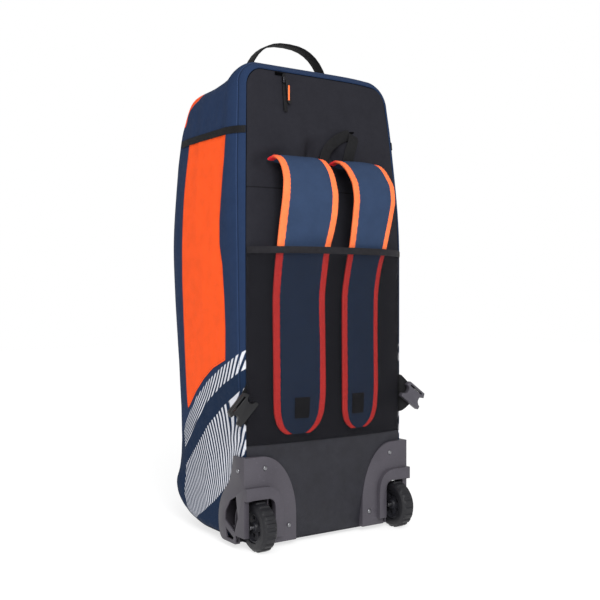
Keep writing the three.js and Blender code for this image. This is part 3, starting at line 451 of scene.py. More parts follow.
def arc_lengths(grid, axis):
    """Distance run along one axis of a grid of points, the same for all its lines."""
    steps = np.linalg.norm(np.diff(grid, axis=axis), axis=-1).mean(axis=1 - axis)
    run = np.concatenate([[0], np.cumsum(steps)])
    return np.broadcast_to(run[None, :] if axis == 1 else run[:, None], grid.shape[:2])


def loft_piece(name, rings, look, marks=None):
    """A closed body through rings of points, with a flat face at each end."""
    rings = np.asarray(rings, dtype=float)
    count, around = rings.shape[:2]
    i, j = np.meshgrid(np.arange(count - 1), np.arange(around), indexing="ij")
    a = (i * around + j).ravel()
    b = (i * around + (j + 1) % around).ravel()
    faces = [tuple(f) for f in np.stack([a, b, b + around, a + around], axis=1)]
    faces.append(tuple(range(around))[::-1])
    faces.append(tuple((count - 1) * around + np.arange(around)))
    closed = np.concatenate([rings, rings[:, :1]], axis=1)
    lengths = {"s": arc_lengths(closed, 1)[:, :-1], "t": arc_lengths(rings, 0)}
    piece = new_piece(name, rings.reshape(-1, 3), faces, look, {**lengths, **(marks or {})})
    turn_outward(piece.data)
    return piece


def turn_outward(mesh):
    work = bmesh.new()
    work.from_mesh(mesh)
    bmesh.ops.recalc_face_normals(work, faces=work.faces)
    work.to_mesh(mesh)
    work.free()


# Materials
class Look:
    """A material's node tree, with short calls for what the cloths and plastics need."""

    def __init__(self, name, roughness, metallic=0.0, specular=0.5):
        self.material = bpy.data.materials.new(name)
        self.material.use_nodes = True
        self.tree = self.material.node_tree
        self.shader = self.tree.nodes["Principled BSDF"]
        self.set("Roughness", roughness)
        self.set("Metallic", metallic)
        self.set("Specular IOR Level", specular)
        self.place = self.node("ShaderNodeTexCoord").outputs["Object"]

    def feed(self, socket, value):
        if isinstance(value, tuple) and socket.type == "VECTOR":
            value = value[:3]
        if isinstance(value, (int, float, tuple)):
            socket.default_value = value
        else:
            self.tree.links.new(value, socket)

    def set(self, socket, value):
        self.feed(self.shader.inputs[socket], value)

    def colour(self):
        """What feeds the base colour now."""
        return self.shader.inputs["Base Color"].links[0].from_socket

    def node(self, kind, inputs=None, **settings):
        made = self.tree.nodes.new(kind)
        for key, value in settings.items():
            setattr(made, key, value)
        for key, value in (inputs or {}).items():
            self.feed(made.inputs[key], value)
        return made

    def height(self):
            return self.node("ShaderNodeSeparateXYZ", {"Vector": self.place}).outputs["Z"]

    def mark(self, name):
        return self.node("ShaderNodeAttribute", attribute_name=name).outputs["Fac"]

    def math(self, operation, value, *others):
        for other in others or (0.0,):
            made = self.node("ShaderNodeMath", {0: value, 1: other}, operation=operation)
            value = made.outputs[0]
        return value

    plus = partialmethod(math, "ADD")
    minus = partialmethod(math, "SUBTRACT")
    times = partialmethod(math, "MULTIPLY")
    divided = partialmethod(math, "DIVIDE")
    fraction = partialmethod(math, "FRACT")
    floor = partialmethod(math, "FLOOR")
    unsigned = partialmethod(math, "ABSOLUTE")

    def apart(self, a, b):
        """How far two values are from each other."""
        return self.unsigned(self.minus(a, b))

    def wave(self, half_turns):
        return self.math("SINE", self.times(half_turns, math.pi))

    def noise(self, size_mm, detail, stretch=(1.0, 1.0, 1.0)):
        mapping = self.node("ShaderNodeMapping", {"Vector": self.place, "Scale": stretch})
        return self.node("ShaderNodeTexNoise", {
            "Vector": mapping.outputs[0], "Scale": 1000.0 / size_mm, "Detail": detail,
        }).outputs["Fac"]

    def ramp(self, value, low, high, out_low=0.0, out_high=1.0):
        return self.node("ShaderNodeMapRange", {
            "Value": value, "From Min": low, "From Max": high,
            "To Min": out_low, "To Max": out_high,
        }).outputs[0]

    def spread(self, value, low, high):
        """A random value's middle part as a factor between two numbers."""
        return self.ramp(value, 0.3, 0.7, low, high)

    def mottle(self, size_mm, detail, low, high):
        return self.spread(self.noise(size_mm, detail), low, high)

    def step(self, value, edge, soft):
        return self.ramp(value, edge - soft, edge + soft)

    def mix(self, share, a, b):
        return self.node("ShaderNodeMix", {0: share, 6: a, 7: b}, data_type="RGBA").outputs[2]

    def scaled(self, colour, factor):
        inputs = {0: colour, "Scale": factor}
        return self.node("ShaderNodeVectorMath", inputs, operation="SCALE").outputs[0]

    def bump(self, height, distance_mm):
        self.set("Normal", self.node("ShaderNodeBump", {
            "Height": height, "Strength": 1.0, "Distance": distance_mm / 1000.0,
        }).outputs[0])

    def finish(self, colour, factor, dull, height, depth):
        self.set("Base Color", self.scaled(colour, factor))
        self.set("Roughness", dull)
        self.bump(height, depth)
        return self.material

    def weave(self, pitch):
        """Plain weave of over and under threads, from the cloth's own two lengths."""
        s = self.divided(self.mark("s"), pitch)
        t = self.divided(self.mark("t"), pitch)
        warp, weft = self.wave(self.fraction(s)), self.wave(self.fraction(t))
        cells = self.plus(self.floor(s), self.floor(t))
        odd = self.times(self.fraction(self.times(cells, 0.5)), 2.0)
        return self.plus(weft, self.times(self.minus(warp, weft), odd))

    def mottle_and_gap_shade(self, weave, mottle, grain, low, high):
        """Broad and fine unevenness of a cloth's colour, and painted shade in its gaps between
        threads.
        """
        tone = self.mottle(28.0, 4.0, 1 - mottle, 1 + mottle)
        fine = self.ramp(self.noise(1.6, 3.0), 0.25, 0.75, 1 - grain, 1 + grain)
        return self.times(tone, fine, self.ramp(weave, 0.0, 1.0, low, high))

    def stitches(self, across, at):
        """1 on the threads of a row of stitches at a place across the cloth."""
        pitch, share, width, end = 3.2, 0.72, 0.55, 0.12
        near = self.ramp(self.apart(across, at), width, width * 0.5)
        dash = self.fraction(self.divided(self.mark("t"), pitch))
        on = self.times(self.ramp(dash, 0.0, end), self.ramp(dash, share, share - end))
        return self.times(near, on)


def rgb(hex_code):
    """Linear colour from an sRGB code."""
    channels = [int(hex_code[k:k + 2], 16) / 255 for k in (0, 2, 4)]
    linear = [c / 12.92 if c <= 0.04045 else ((c + 0.055) / 1.055) ** 2.4 for c in channels]
    return (*linear, 1.0)


# Painted shade among these: the binding's two reds, the darker left buckle and the slot's near black
COLOURS = {name: rgb(code) for name, code in {
    "navy": "213250", "print navy": "162842", "strap navy": "2d3d58", "flash edge": "12203a",
    "orange": "ff5a22", "white": "dcdee6", "flash thread": "c23c14", "seam thread": "42557c",
    "binding": "fb7a48", "binding curl shade": "f0303a", "binding mesh shade": "ff4540",
    "panel": "232329", "coated": "222229", "mesh": "1e1e22", "hem": "1d1c20", "webbing": "151517",
    "moulded": "454249", "buckle": "47454c", "shaded buckle": "18181a", "hub": "25252a",
    "tyre": "19191d", "grip": "1a1a1c", "grip insert": "ff7a40", "slot": "060607",
    "zip metal": "3c3c40", "steel": "88888c",
}.items()}

# Heights in metres where a colour changes: the seam across the black panel, and the top of the mesh
# on the straps' bindings, below which the bindings are painted redder as the mesh's shade
PANEL_SEAM = 0.686
MESH_TOP, MESH_FULL = 0.571, 0.560


def cloth_look(name, colour, pitch=0.9, roughness=0.85, depth=0.12, mottle=0.16, specular=0.12):
    look = Look(name, roughness, specular=specular)
    weave = look.weave(pitch)
    look.finish(COLOURS[colour], look.mottle_and_gap_shade(weave, mottle, 0.1, 0.82, 1.08),
                look.mottle(9.0, 3.0, roughness - 0.06, roughness + 0.06), weave, depth)
    return look


def webbing_look(name, colour, rib=2.4):
    """Ribbed webbing: ribs across its length and fine threads along it."""
    look = Look(name, 0.72, specular=0.18)
    thread_pitch = 1.1
    ribs = look.unsigned(look.wave(look.divided(look.mark("t"), rib)))
    threads = look.wave(look.fraction(look.divided(look.mark("s"), thread_pitch)))
    height = look.times(look.math("POWER", ribs, 0.5), look.ramp(threads, 0, 1, 0.7, 1.0))
    # The colour is darker on the low parts of the ribs and threads: painted shade
    shade = look.times(look.mottle(14.0, 4.0, 0.85, 1.2), look.ramp(height, 0.0, 1.0, 0.6, 1.1))
    return look.finish(COLOURS[colour], shade, look.mottle(5.0, 3.0, 0.62, 0.8), height, 0.3)


def plastic_look(name, colour, roughness=0.42, grain=0.9, depth=0.05, wear=0.25, specular=0.3):
    """Moulded plastic: fine spark-eroded grain, faint flow marks and scuffs."""
    look = Look(name, roughness, specular=specular)
    fine = look.noise(grain, 4.0)
    flow = look.noise(45.0, 3.0)
    scuffs = look.ramp(look.noise(7.0, 5.0, (1.0, 1.0, 3.0)), 0.60, 0.72)
    tone = look.times(look.spread(flow, 0.92, 1.08), look.spread(fine, 0.94, 1.06))
    shade = look.times(tone, look.plus(1.0, look.times(scuffs, wear)))
    dull = look.spread(flow, roughness - 0.05, roughness + 0.05)
    dull = look.plus(dull, look.times(scuffs, 0.12))
    return look.finish(COLOURS[colour], shade, dull, fine, depth)


def metal_look(name, colour, roughness):
    look = Look(name, roughness, metallic=1.0)
    brushed = look.noise(0.8, 4.0, (1.0, 1.0, 6.0))
    dull = look.spread(brushed, roughness - 0.1, roughness + 0.15)
    return look.finish(COLOURS[colour], look.mottle(6.0, 3.0, 0.8, 1.05), dull, brushed, 0.02)


def shell_look():
    """Navy cloth of the shell with the printed orange flash and the two bands of stripes."""
    look = Look("shell_cloth", 0.82, specular=0.12)
    weave = look.weave(0.9)
    flash, trim, rim = look.mark("flash_mm"), look.mark("trim_mm"), look.mark("rim_mm")

    def stripes():
        soft = 0.05
        from_middle = look.apart(look.fraction(look.mark("stripe")), 0.5)
        half_width = look.times(look.mark("stripe_share"), 0.5)
        on = look.ramp(look.minus(half_width, from_middle), -soft, soft)
        return look.times(on, look.step(look.mark("bands_mm"), 0.0, 0.5))

    # Each layer covers those before it: a deeper navy, stripes, flash with a dark outline, trim,
    # and rows of stitches inside the flash's edge and beside the seam of the strap face
    field = COLOURS["navy"]
    for cover, colour in (
        (look.step(look.mark("print_mm"), 0.0, 0.6), "print navy"),
        (stripes(), "white"),
        (look.step(flash, -1.6, 0.4), "flash edge"),
        (look.step(flash, 0.0, 0.4), "orange"),
        (look.step(trim, 0.0, 0.5), "orange"),
        (look.stitches(flash, 3.5), "flash thread"),
        (look.stitches(rim, 15.0), "seam thread"),
    ):
        field = look.mix(cover, field, COLOURS[colour])
    # The groove beside the strap face's seam is painted darker as shade, besides its dent in the
    # relief
    groove = look.ramp(look.apart(rim, 12.0), 0.0, 1.2)
    shade = look.times(look.mottle_and_gap_shade(weave, 0.05, 0.08, 0.85, 1.06), look.ramp(groove, 0, 1, 0.45, 1.0))
    relief = look.plus(weave, look.times(groove, 4.0))
    return look.finish(field, shade, look.mottle(9.0, 3.0, 0.74, 0.88), relief, 0.12)


def mesh_look():
    """See-through pocket cloth: a knit of threads round small round holes."""
    look = Look("pocket_mesh", 0.8, specular=0.1)
    pitch, row_share = 1.5, 0.866
    hole_edge, hole_soft = 0.44, 0.04
    clear, covered = 0.03, 0.70
    s = look.divided(look.mark("s"), pitch)
    t = look.divided(look.mark("t"), pitch * row_share)
    row = look.fraction(look.times(look.floor(t), 0.5))
    ds = look.minus(look.fraction(look.plus(s, row)), 0.5)
    dt = look.minus(look.fraction(t), 0.5)
    distance = look.math("SQRT", look.plus(look.times(ds, ds), look.times(dt, dt)))
    thread = look.step(distance, hole_edge, hole_soft)
    look.set("Base Color", look.scaled(COLOURS["mesh"], look.mottle(30.0, 3.0, 0.85, 1.15)))
    look.set("Alpha", look.ramp(thread, 0.0, 1.0, clear, covered))
    look.bump(thread, 0.25)
    return look.material


def panel_look():
    """Black cloth of the strap face with the dark line of a seam across it."""
    look = cloth_look("black_cloth", "panel", mottle=0.06)
    seam = look.ramp(look.apart(look.height(), PANEL_SEAM), 0.0006, 0.0016, 0.35, 1.0)
    look.set("Base Color", look.scaled(look.colour(), seam))
    return look.material


def binding_look():
    """Orange tape with painted shade: red where it curls over the strap's top, and redder behind the
    mesh.
    """
    look = cloth_look("binding_tape", "binding", pitch=0.7, roughness=0.75, mottle=0.08, depth=0.1)
    # Painted shade: the tape turns red where it curls under at the strap's top
    curl = look.ramp(look.mark("t"), 34.0, 12.0)
    # Painted shade of the mesh: the tape is redder where it lies behind the pocket's mesh
    mesh_shade = look.ramp(look.height(), MESH_TOP, MESH_FULL)
    tape = look.mix(curl, look.colour(), COLOURS["binding curl shade"])
    look.set("Base Color", look.mix(mesh_shade, tape, COLOURS["binding mesh shade"]))
    return look.material


def grip_look():
    """Black zip grip with an orange insert, found by the grip's own middle."""
    look = Look("zip_grip", 0.6, specular=0.2)
    half_width, below, above = 1.9, 17.0, 13.0
    middle_x, middle_z = GRIP_AT
    beside = look.apart(look.mark("s"), middle_x)
    insert = look.times(look.ramp(beside, half_width, half_width - 0.4), look.times(
        look.ramp(look.mark("t"), middle_z - below, middle_z - below + 1),
        look.ramp(look.mark("t"), middle_z + above, middle_z + above - 1)))
    grip = look.mix(insert, COLOURS["grip"], COLOURS["grip insert"])
    look.set("Base Color", look.scaled(grip, look.mottle(3.0, 3.0, 0.9, 1.1)))
    return look.material


navy_cloth = cloth_look("navy_cloth", "navy").material
strap_cloth = cloth_look("strap_cloth", "strap navy", mottle=0.06).material
coated_cloth = cloth_look("coated_cloth", "coated", 1.7, 0.55, depth=0.3, specular=0.3).material
black_cloth = panel_look()
shell_cloth = shell_look()
pocket_mesh = mesh_look()
binding_tape = binding_look()
band_tape = webbing_look("band_tape", "hem", rib=1.3)
black_webbing = webbing_look("black_webbing", "webbing")
moulded_grey = plastic_look("moulded_grey", "moulded")
buckle_plastic = plastic_look("buckle_plastic", "buckle", grain=0.6)
# A darker copy of the buckle plastic for the left buckle: painted shade
buckle_shaded = plastic_look("buckle_shaded", "shaded buckle", grain=0.6)
hub_plastic = plastic_look("hub_plastic", "hub")
tyre_rubber = plastic_look("tyre_rubber", "tyre", 0.5, 0.5, depth=0.12, wear=0.35, specular=0.35)
slot_shadow = plastic_look("slot_shadow", "slot", roughness=0.9, specular=0.0)
zip_grip = grip_look()
zip_metal = metal_look("zip_metal", "zip metal", 0.4)
steel = metal_look("rivet_steel", "steel", 0.3)

# Camera and light, as solved from the photograph
CAMERA_AT = (-1049.0, -1451.0, 486.0)
HEADING, PITCH = math.radians(34.0), math.radians(-0.46)
SENSOR_WIDTH, LENS = 36.0, 54.2
SUN_TOWARDS, SUN_POWER, SUN_WIDTH = (0.30, 0.70, -0.70), 0.75, math.radians(40)
BOX_AT, BOX_TARGET, BOX_SIZE, BOX_POWER = (-0.8, -2.0, 1.25), (-0.1, -0.1, 0.5), (0.8, 1.0), 30.0
WORLD_AS_LIGHT, WORLD_SEEN = 0.6, 1.0
PURE_WHITE = (1.0, 1.0, 1.0, 1.0)
FLOOR_REACH = 6.0
PAPER, PAPER_GLOW = (0.42, 0.42, 0.42, 1.0), 0.7

scene = bpy.context.scene
scene.view_settings.view_transform = "Standard"


def place_object(name, data, place=(0.0, 0.0, 0.0), towards=None):
    made = bpy.data.objects.new(name, data)
    scene.collection.objects.link(made)
    made.location = place
    if towards is not None:
        made.rotation_euler = Vector(towards).to_track_quat("-Z", "Y").to_euler()
    return made


lens = bpy.data.cameras.new("camera")
lens.sensor_fit, lens.sensor_width, lens.lens = "HORIZONTAL", SENSOR_WIDTH, LENS
lens.clip_end = 50.0
level = math.cos(PITCH)
sight = (math.sin(HEADING) * level, math.cos(HEADING) * level, math.sin(PITCH))
scene.camera = place_object("camera", lens, (np.array(CAMERA_AT) + SHIFT) * 0.001, sight)

# White to the camera, and a softer white as light
world = bpy.data.worlds.new("studio")
world.use_nodes = True
nodes, links = world.node_tree.nodes, world.node_tree.links
strength = nodes.new("ShaderNodeMapRange")
strength.inputs["To Min"].default_value = WORLD_AS_LIGHT
strength.inputs["To Max"].default_value = WORLD_SEEN
links.new(nodes.new("ShaderNodeLightPath").outputs["Is Camera Ray"], strength.inputs["Value"])
links.new(strength.outputs[0], nodes["Background"].inputs["Strength"])
nodes["Background"].inputs["Color"].default_value = PURE_WHITE
scene.world = world

sun = bpy.data.lights.new("key", "SUN")
sun.energy, sun.angle = SUN_POWER, SUN_WIDTH
place_object("key", sun, towards=SUN_TOWARDS)
box = bpy.data.lights.new("front box", "AREA")
box.shape, box.energy = "RECTANGLE", BOX_POWER
box.size, box.size_y = BOX_SIZE
place_object("front box", box, BOX_AT, Vector(BOX_TARGET) - Vector(BOX_AT))

floor_mesh = bpy.data.meshes.new("floor")
floor_mesh.from_pydata([(-1, -1, 0), (1, -1, 0), (1, 1, 0), (-1, 1, 0)], [], [(0, 1, 2, 3)])
floor = place_object("floor", floor_mesh)
floor.scale = (FLOOR_REACH, FLOOR_REACH, 1)
floor_paper = Look("floor_paper", 0.9, specular=0.0)
floor_paper.set("Base Color", PAPER)
floor_paper.set("Emission Color", PURE_WHITE)
floor_paper.set("Emission Strength", PAPER_GLOW)
floor_mesh.materials.append(floor_paper.material)

# Print of the sides, as places by depth and height
FLASH = np.array([
    (66, 800), (66, 740), (72, 682), (80, 626), (80, 579), (70, 540), (66, 473), (66, 416),
    (70, 356), (116, 339), (159, 314), (195, 285), (238, 244), (244, 283), (247, 367),
    (249, 430), (249, 513), (243, 596), (236, 658), (230, 719), (222, 800),
], dtype=float)
BAND_ONE = np.array([
    (-9, 386), (9, 378), (37, 363), (86, 341), (146, 309), (196, 272), (242, 225), (262, 196),
    (262, 140), (248, 163), (198, 222), (148, 269), (90, 304), (41, 326), (9, 343), (-9, 350),
], dtype=float)
BAND_TWO = np.array([
    (-9, 316), (10, 308), (42, 288), (92, 261), (150, 220), (198, 173), (239, 131), (262, 100),
    (225, 12), (189, 31), (158, 49), (117, 76), (75, 109), (39, 149), (21, 174), (9, 185), (-9, 190),
], dtype=float)
PRINT_ZONE = np.array([
    (-40, 376), (60, 352), (150, 305), (265, 195), (330, 60), (330, -20), (-40, -20),
])
PRINT_FRONT = table(("z", "y"), [(60, 246), (110, 240), (150, 250), (200, 262), (260, 275)])
OUT_OF_PRINT = -50.0

# Stripes of each band by depth: middle height, slant and pitch
STRIPES_FROM, STRIPES_TO = -20, 280
STRIPES_ONE = table(("y", "middle", "slant", "pitch"), [
    (-20, 368, 0.38, 13), (60, 330, 0.45, 12), (120, 302, 0.6, 10),
    (180, 262, 0.8, 8), (280, 170, 0.95, 6.4),
])
STRIPES_TWO = table(("y", "middle", "slant", "pitch"), [
    (-20, 250, 0.45, 13), (25, 236, 0.3, 12), (45, 214, 0.05, 11.5), (65, 200, -0.18, 11),
    (100, 170, -0.34, 10.2), (150, 134, -0.44, 9), (200, 98, -0.5, 7.4), (280, 40, -0.5, 6),
])

# Where the orange trim round the front's top begins, by the place round the shell, where it
# ends, and its lowest places round the shell and over the floor
TRIM_EDGE = table(("u", "from"), [
    (0.98, 0.78), (0.995, 0.73), (1.02, 0.7), (1.06, 0.67), (1.12, 0.64), (1.28, 0.575),
    (1.5, 0.575), (1.75, 0.62), (2, 0.7), (2.5, 0.73),
])
TRIM_END = 0.86
TRIM_START, TRIM_LOW = 0.985, 832.0
LEG_LENGTH = 700.0


def stripe_count(rows, y, z):
    """How many stripes lie before a place, whole numbers at the middle of each gap."""
    ys = np.linspace(STRIPES_FROM, STRIPES_TO, STRIPES_TO - STRIPES_FROM + 1)
    middle, slant, pitch = (np.interp(ys, rows["y"], rows[k]) for k in ("middle", "slant", "pitch"))
    by_height = slant / pitch
    by_depth = 1 / pitch - np.gradient(by_height, ys) * middle
    run = np.concatenate([[0], np.cumsum((by_depth[1:] + by_depth[:-1]) / 2)])
    return np.interp(y, ys, run) + z * np.interp(y, ys, by_height)


def shell_marks(points, u, at):
    """Signed distances and stripe phase of the print, read on each side by depth and height."""
    side = abs(points[..., 0]) > HALF_PANEL * 0.5
    flat = points[..., 1:3]
    y, z = flat[..., 0], flat[..., 1]

    def on_side(distance):
        return np.where(side, distance, OUT_OF_PRINT)

    one, two = inside_distance(flat, BAND_ONE), inside_distance(flat, BAND_TWO)
    before_front = np.interp(z, PRINT_FRONT["z"], PRINT_FRONT["y"]) - y
    count = np.where(one > two, stripe_count(STRIPES_ONE, y, z), stripe_count(STRIPES_TWO, y, z))
    half_turn = np.minimum(u, 5 - u)
    trim_from = np.interp(half_turn, TRIM_EDGE["u"], TRIM_EDGE["from"])
    trim = np.minimum(at - trim_from, TRIM_END - at) * BAG_DEPTH
    trim = np.minimum(np.minimum(trim, (half_turn - TRIM_START) * LEG_LENGTH), z - TRIM_LOW)
    return {
        "flash_mm": on_side(inside_distance(flat, FLASH)),
        "bands_mm": on_side(np.minimum(np.maximum(one, two), before_front)),
        "stripe": count,
        "stripe_share": np.clip(0.54 - 0.0008 * y, 0.35, 0.54),
        "print_mm": on_side(inside_distance(flat, PRINT_ZONE)),
        "rim_mm": y - lean(z, 0) * (1 - at) - EDGE_SETBACK * (1 - at),
        "trim_mm": trim,
    }


# Shell
def clear_of_housings(face):
    """The cells of a grid of points that aren't well inside the moulded corners."""
    middle = (face[:-1, :-1] + face[1:, 1:]) / 2
    x, z = abs(middle[..., 0]), middle[..., 2]
    inner = HALF_PANEL - HOUSING_WIDTH
    shoulder_x = HALF_PANEL - HOUSING_WIDTH * HOUSING_SPRING
    spring_z = HOUSING_FLOOR + HOUSING_HEIGHT * HOUSING_SPRING
    reach_x = np.clip((shoulder_x - x) / (shoulder_x - inner), 0, 1)
    arch = spring_z + (HOUSING_TOP - spring_z) * np.sqrt(np.maximum(1 - reach_x ** 2, 0))
    behind = (x > inner + HOUSING_MARGIN) & (z < arch - HOUSING_MARGIN)
    beside = inside_distance(middle[..., 1:3], HOUSING_SIDE) > HOUSING_MARGIN
    return ~(behind & beside)


def sag(points):
    """The right shoulder of the strap face hangs in from the seam's clean corner."""
    corner_at, reach, depth_reach = (184, 912), (62, 62), 200
    inward, down = 8.0, 9.0
    near = bump_at(points[..., [0, 2]], corner_at, reach)
    near = near * np.clip(1 - points[..., 1] / depth_reach, 0, 1)
    points[..., 0] -= inward * near
    points[..., 2] -= down * near
    return points


def build_shell():
    """Both sides and the top in one wrap."""
    climb = stretches((0, 0.9, 110), (0.9, 1, 24))
    corner = np.linspace(0, 1, 40)[1:]
    u = np.concatenate([
        np.linspace(-0.5, 0, 16)[:-1], climb, 1 + corner, 2 + corner, 3 + corner,
        5 - climb[::-1][1:], 5 + np.linspace(0, 0.5, 16)[1:],
    ])
    at = stretches((0, 0.12, 12), (0.12, 0.8, 46), (0.8, 1.0, 20))
    u, at = np.meshgrid(u, at, indexing="ij")
    base, normal = shell_point(u, at), shell_normal(u, at)
    share = height_share(base[..., 2])
    side = smooth((abs(base[..., 0]) - 120) / 50)
    # Broad slackness, and finer creases low on the sides
    lift = random_fields(base, [
        (1.5, (200, 90, 240), 1), (0.9, (80, 45, 110), 2), (0.8, (60, 22, 170), 4),
    ])
    creases = 0.9 * noise(base, (60, 34, 22), 3) * smooth((0.34 - share) / 0.12)
    # Folds under the buckle tab near the strap face
    near_tab = bump_at(base[..., 1:3], (14, 215), (34, 40))
    creases = creases + near_tab * 2.4 * np.sin((base[..., 2] + 0.8 * base[..., 1]) / 7.5)
    # A shallow seam between the gusset's ring and the side
    from_ring = base[..., 1] - lean(base[..., 2], 0) - 22
    ring = 1.2 * np.exp(-(from_ring / 5.0) ** 2) * smooth((share - 0.78) / 0.1)
    # The front's lower corner bulges where the load rests
    bulge = 9.0 * bump_at(base[..., 1:3], (286, 84), (46, 34)) * side
    lift = (lift * side + creases * side - ring * side * 0.8) * eased(at, 0.06, 0.05)
    lift = lift + bulge * smooth((1 - at) / 0.05)
    face = sag(base + normal * lift[..., None])
    piece = sheet_piece("shell_wrap", face, face - normal * WALL, shell_cloth,
                        shell_marks(base, u, at), clear_of_housings(face))
    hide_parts("side_panel_left", "side_panel_right", "top_gusset",
                "side_flash_left", "side_flash_right", "front_trim")


def build_base():
    u, at = np.meshgrid(np.linspace(5.5, 7.5, 80), np.linspace(0, 1, 50), indexing="ij")
    base, normal = shell_point(u, at), shell_normal(u, at)
    lift = 0.8 * noise(base, (90, 70, 60), 5) * eased(at, 0.06, 0.05)
    face = base + normal * np.minimum(lift, 0.5)[..., None]
    piece = sheet_piece("shell_base", face, face - normal * WALL, coated_cloth,
                        keep=clear_of_housings(face))
    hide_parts("base_panel")


def back_sheet_points(z, columns):
    """Points of the strap face between the side seams, at rows of heights."""
    straight = half_width_at(z, HALF_PANEL - PANEL_INSET, TOP_HEIGHT - PANEL_INSET, BACK_CORNER,
                             BASE_HEIGHT + PANEL_INSET, FOOT_CORNER - PANEL_INSET)
    x = (straight * taper(z))[:, None] * np.linspace(-1, 1, columns)[None, :]
    zz = np.broadcast_to(z[:, None], x.shape)
    return np.stack([x, back_face_y(x, zz), zz], axis=-1)


# Dents where the haul webbing pulls the panel, and swells beside them: depth, X and Z of the
# middle, radii and turn
DENTS = [
    (20.0, (-34, 750), (13, 30), 0.0), (14.0, (16, 762), (28, 11), 0.5),
    (18.0, (32, 748), (11, 24), 0.0), (12.0, (-126, 742), (36, 16), 0.3),
]
SWELLS = [(4.0, (-4, 806), (50, 12), 0.42), (4.0, (-66, 772), (18, 36), -0.2)]


def build_back():
    top = TOP_HEIGHT - PANEL_INSET
    crown = top - BACK_CORNER * (1 - np.sin(quarter_turn(24)))
    z = np.concatenate([np.linspace(KICK_TOP + GAP, top - BACK_CORNER, 150)[:-1], crown])
    face = back_sheet_points(z, 110)
    edge = HALF_PANEL - PANEL_INSET - abs(face[..., 0]) - SHOULDER_TAPER * shoulder(face[..., 2])
    rim = np.minimum(edge, top - face[..., 2])
    tuck = 2.2 * np.exp(-np.maximum(rim, 0) / 2.5)
    flat = face[..., [0, 2]]
    wave = random_fields(face, [(0.9, (130, 100, 150), 8), (0.35, (50, 50, 60), 9)])
    folds = np.sin((flat[..., 0] + 0.9 * flat[..., 1]) / 8.0)
    pull = bumps(flat, DENTS) + 1.2 * bump_at(flat, (0, 735), (160, 50)) * folds
    depth = tuck + pull - bumps(flat, SWELLS)
    face[..., 1] += depth + wave * smooth(rim / 12) * smooth((face[..., 2] - 560) / 60)
    face = sag(face)
    piece = sheet_piece("back_cloth", face, pushed(face, WALL), black_cloth)
    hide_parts("back_panel")


def build_kick():
    round_foot = FOOT_CORNER - PANEL_INSET
    z = np.concatenate([
        BASE_HEIGHT + PANEL_INSET + round_foot * (1 - np.cos(quarter_turn(10))),
        np.linspace(BASE_HEIGHT + FOOT_CORNER + 0.5, KICK_TOP - GAP, 64),
    ])
    face = back_sheet_points(z, 90)
    wave = 0.7 * noise(face, (90, 60, 70), 12)
    fold = 1.4 * np.exp(-((face[..., 2] - KICK_TOP + 1.5) / 1.2) ** 2)
    face[..., 1] += wave + fold
    piece = sheet_piece("kick_cloth", face, pushed(face, WALL), coated_cloth,
                        keep=clear_of_housings(face))
    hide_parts("kick_plate")


def build_front():
    end = {name: column[-1] for name, column in SECTIONS.items()}
    top = BASE_HEIGHT + SHELL_HEIGHT * end["top"]
    foot = BASE_HEIGHT + SHELL_HEIGHT * end["foot"]
    half, corner = HALF_PANEL * end["side"], HALF_PANEL * end["corner"]
    z = np.concatenate([
        foot + FOOT_CORNER * (1 - np.cos(quarter_turn(10))),
        np.linspace(foot + FOOT_CORNER, top - corner, 90)[1:-1],
        top - corner * (1 - np.sin(quarter_turn(20))),
    ])
    share_up = height_share(z)
    inward = ((z - (top + foot) / 2) / ((top - foot) / 2))[:, None]
    # Less of the sides' swell reaches the narrow front
    swell = SIDE_SWELL * end["swell"] * follow(LEVELS, "side", share_up) * 0.3
    width = half_width_at(z, half, top, corner, foot, FOOT_CORNER) + swell
    share = np.linspace(-1, 1, 70)[None, :]
    x = (width * taper(z))[:, None] * share
    y = (BAG_DEPTH + FRONT_SWELL * follow(LEVELS, "front", share_up)[:, None]
         + FRONT_CROWN * (1 - share ** 2) * (1 - inward ** 2))
    face = np.stack([x, y, np.broadcast_to(z[:, None], x.shape)], axis=-1)
    edge = smooth((1 - abs(share)) / 0.08) * smooth((1 - abs(inward)) / 0.06)
    face[..., 1] += edge * random_fields(face, [(1.6, (110, 80, 130), 15), (0.6, (45, 40, 50), 16)])
    piece = sheet_piece("front_cloth", face, pushed(face, -WALL), navy_cloth, flip=True)
    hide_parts("front_panel")


build_shell()
build_base()
build_back()
build_kick()
build_front()


# Stow pocket
POCKET_LIFT, HEM_LIFT = 1.2, 1.6
POCKET_CLOTH = 0.5


def build_pocket():
    levels = stretches((0, 0.1, 16), (0.1, 1 - (BAND_HEIGHT + GAP) / POCKET_HEIGHT, 90))
    level, share = np.meshgrid(levels, np.linspace(-1, 1, 120), indexing="ij")
    face = pocket_face(share, level, POCKET_LIFT)
    ease = smooth(level / 0.08) * smooth((1 - abs(share)) / 0.06)
    face[..., 1] -= (0.8 * noise(face, (60, 50, 80), 21) + 0.8) * ease
    piece = sheet_piece("pocket_net", face, pushed(face, POCKET_CLOTH), pocket_mesh)
    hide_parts("stow_pocket")
    return piece, face


def build_band():
    levels, across = np.linspace(1 - BAND_HEIGHT / POCKET_HEIGHT, 1, 9), np.linspace(-1, 1, 9)
    level, share = np.meshgrid(levels, np.linspace(-1, 1, 160), indexing="ij")
    face = pushed(pocket_face(share, level, HEM_LIFT), -0.8 * np.sqrt(1 - across[:, None] ** 4))
    piece = sheet_piece("pocket_hem", face, pocket_face(share, level, 0.0), band_tape)
    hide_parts("pocket_band")
    return piece


pocket_net, pocket_points = build_pocket()
pocket_hem = build_band()

# Shoulder straps
STRAP_STEPS = stretches((0, 0.2, 44), (0.2, 0.88, 90), (0.88, 1, 36))
BINDING_OVERLAP = 4.0


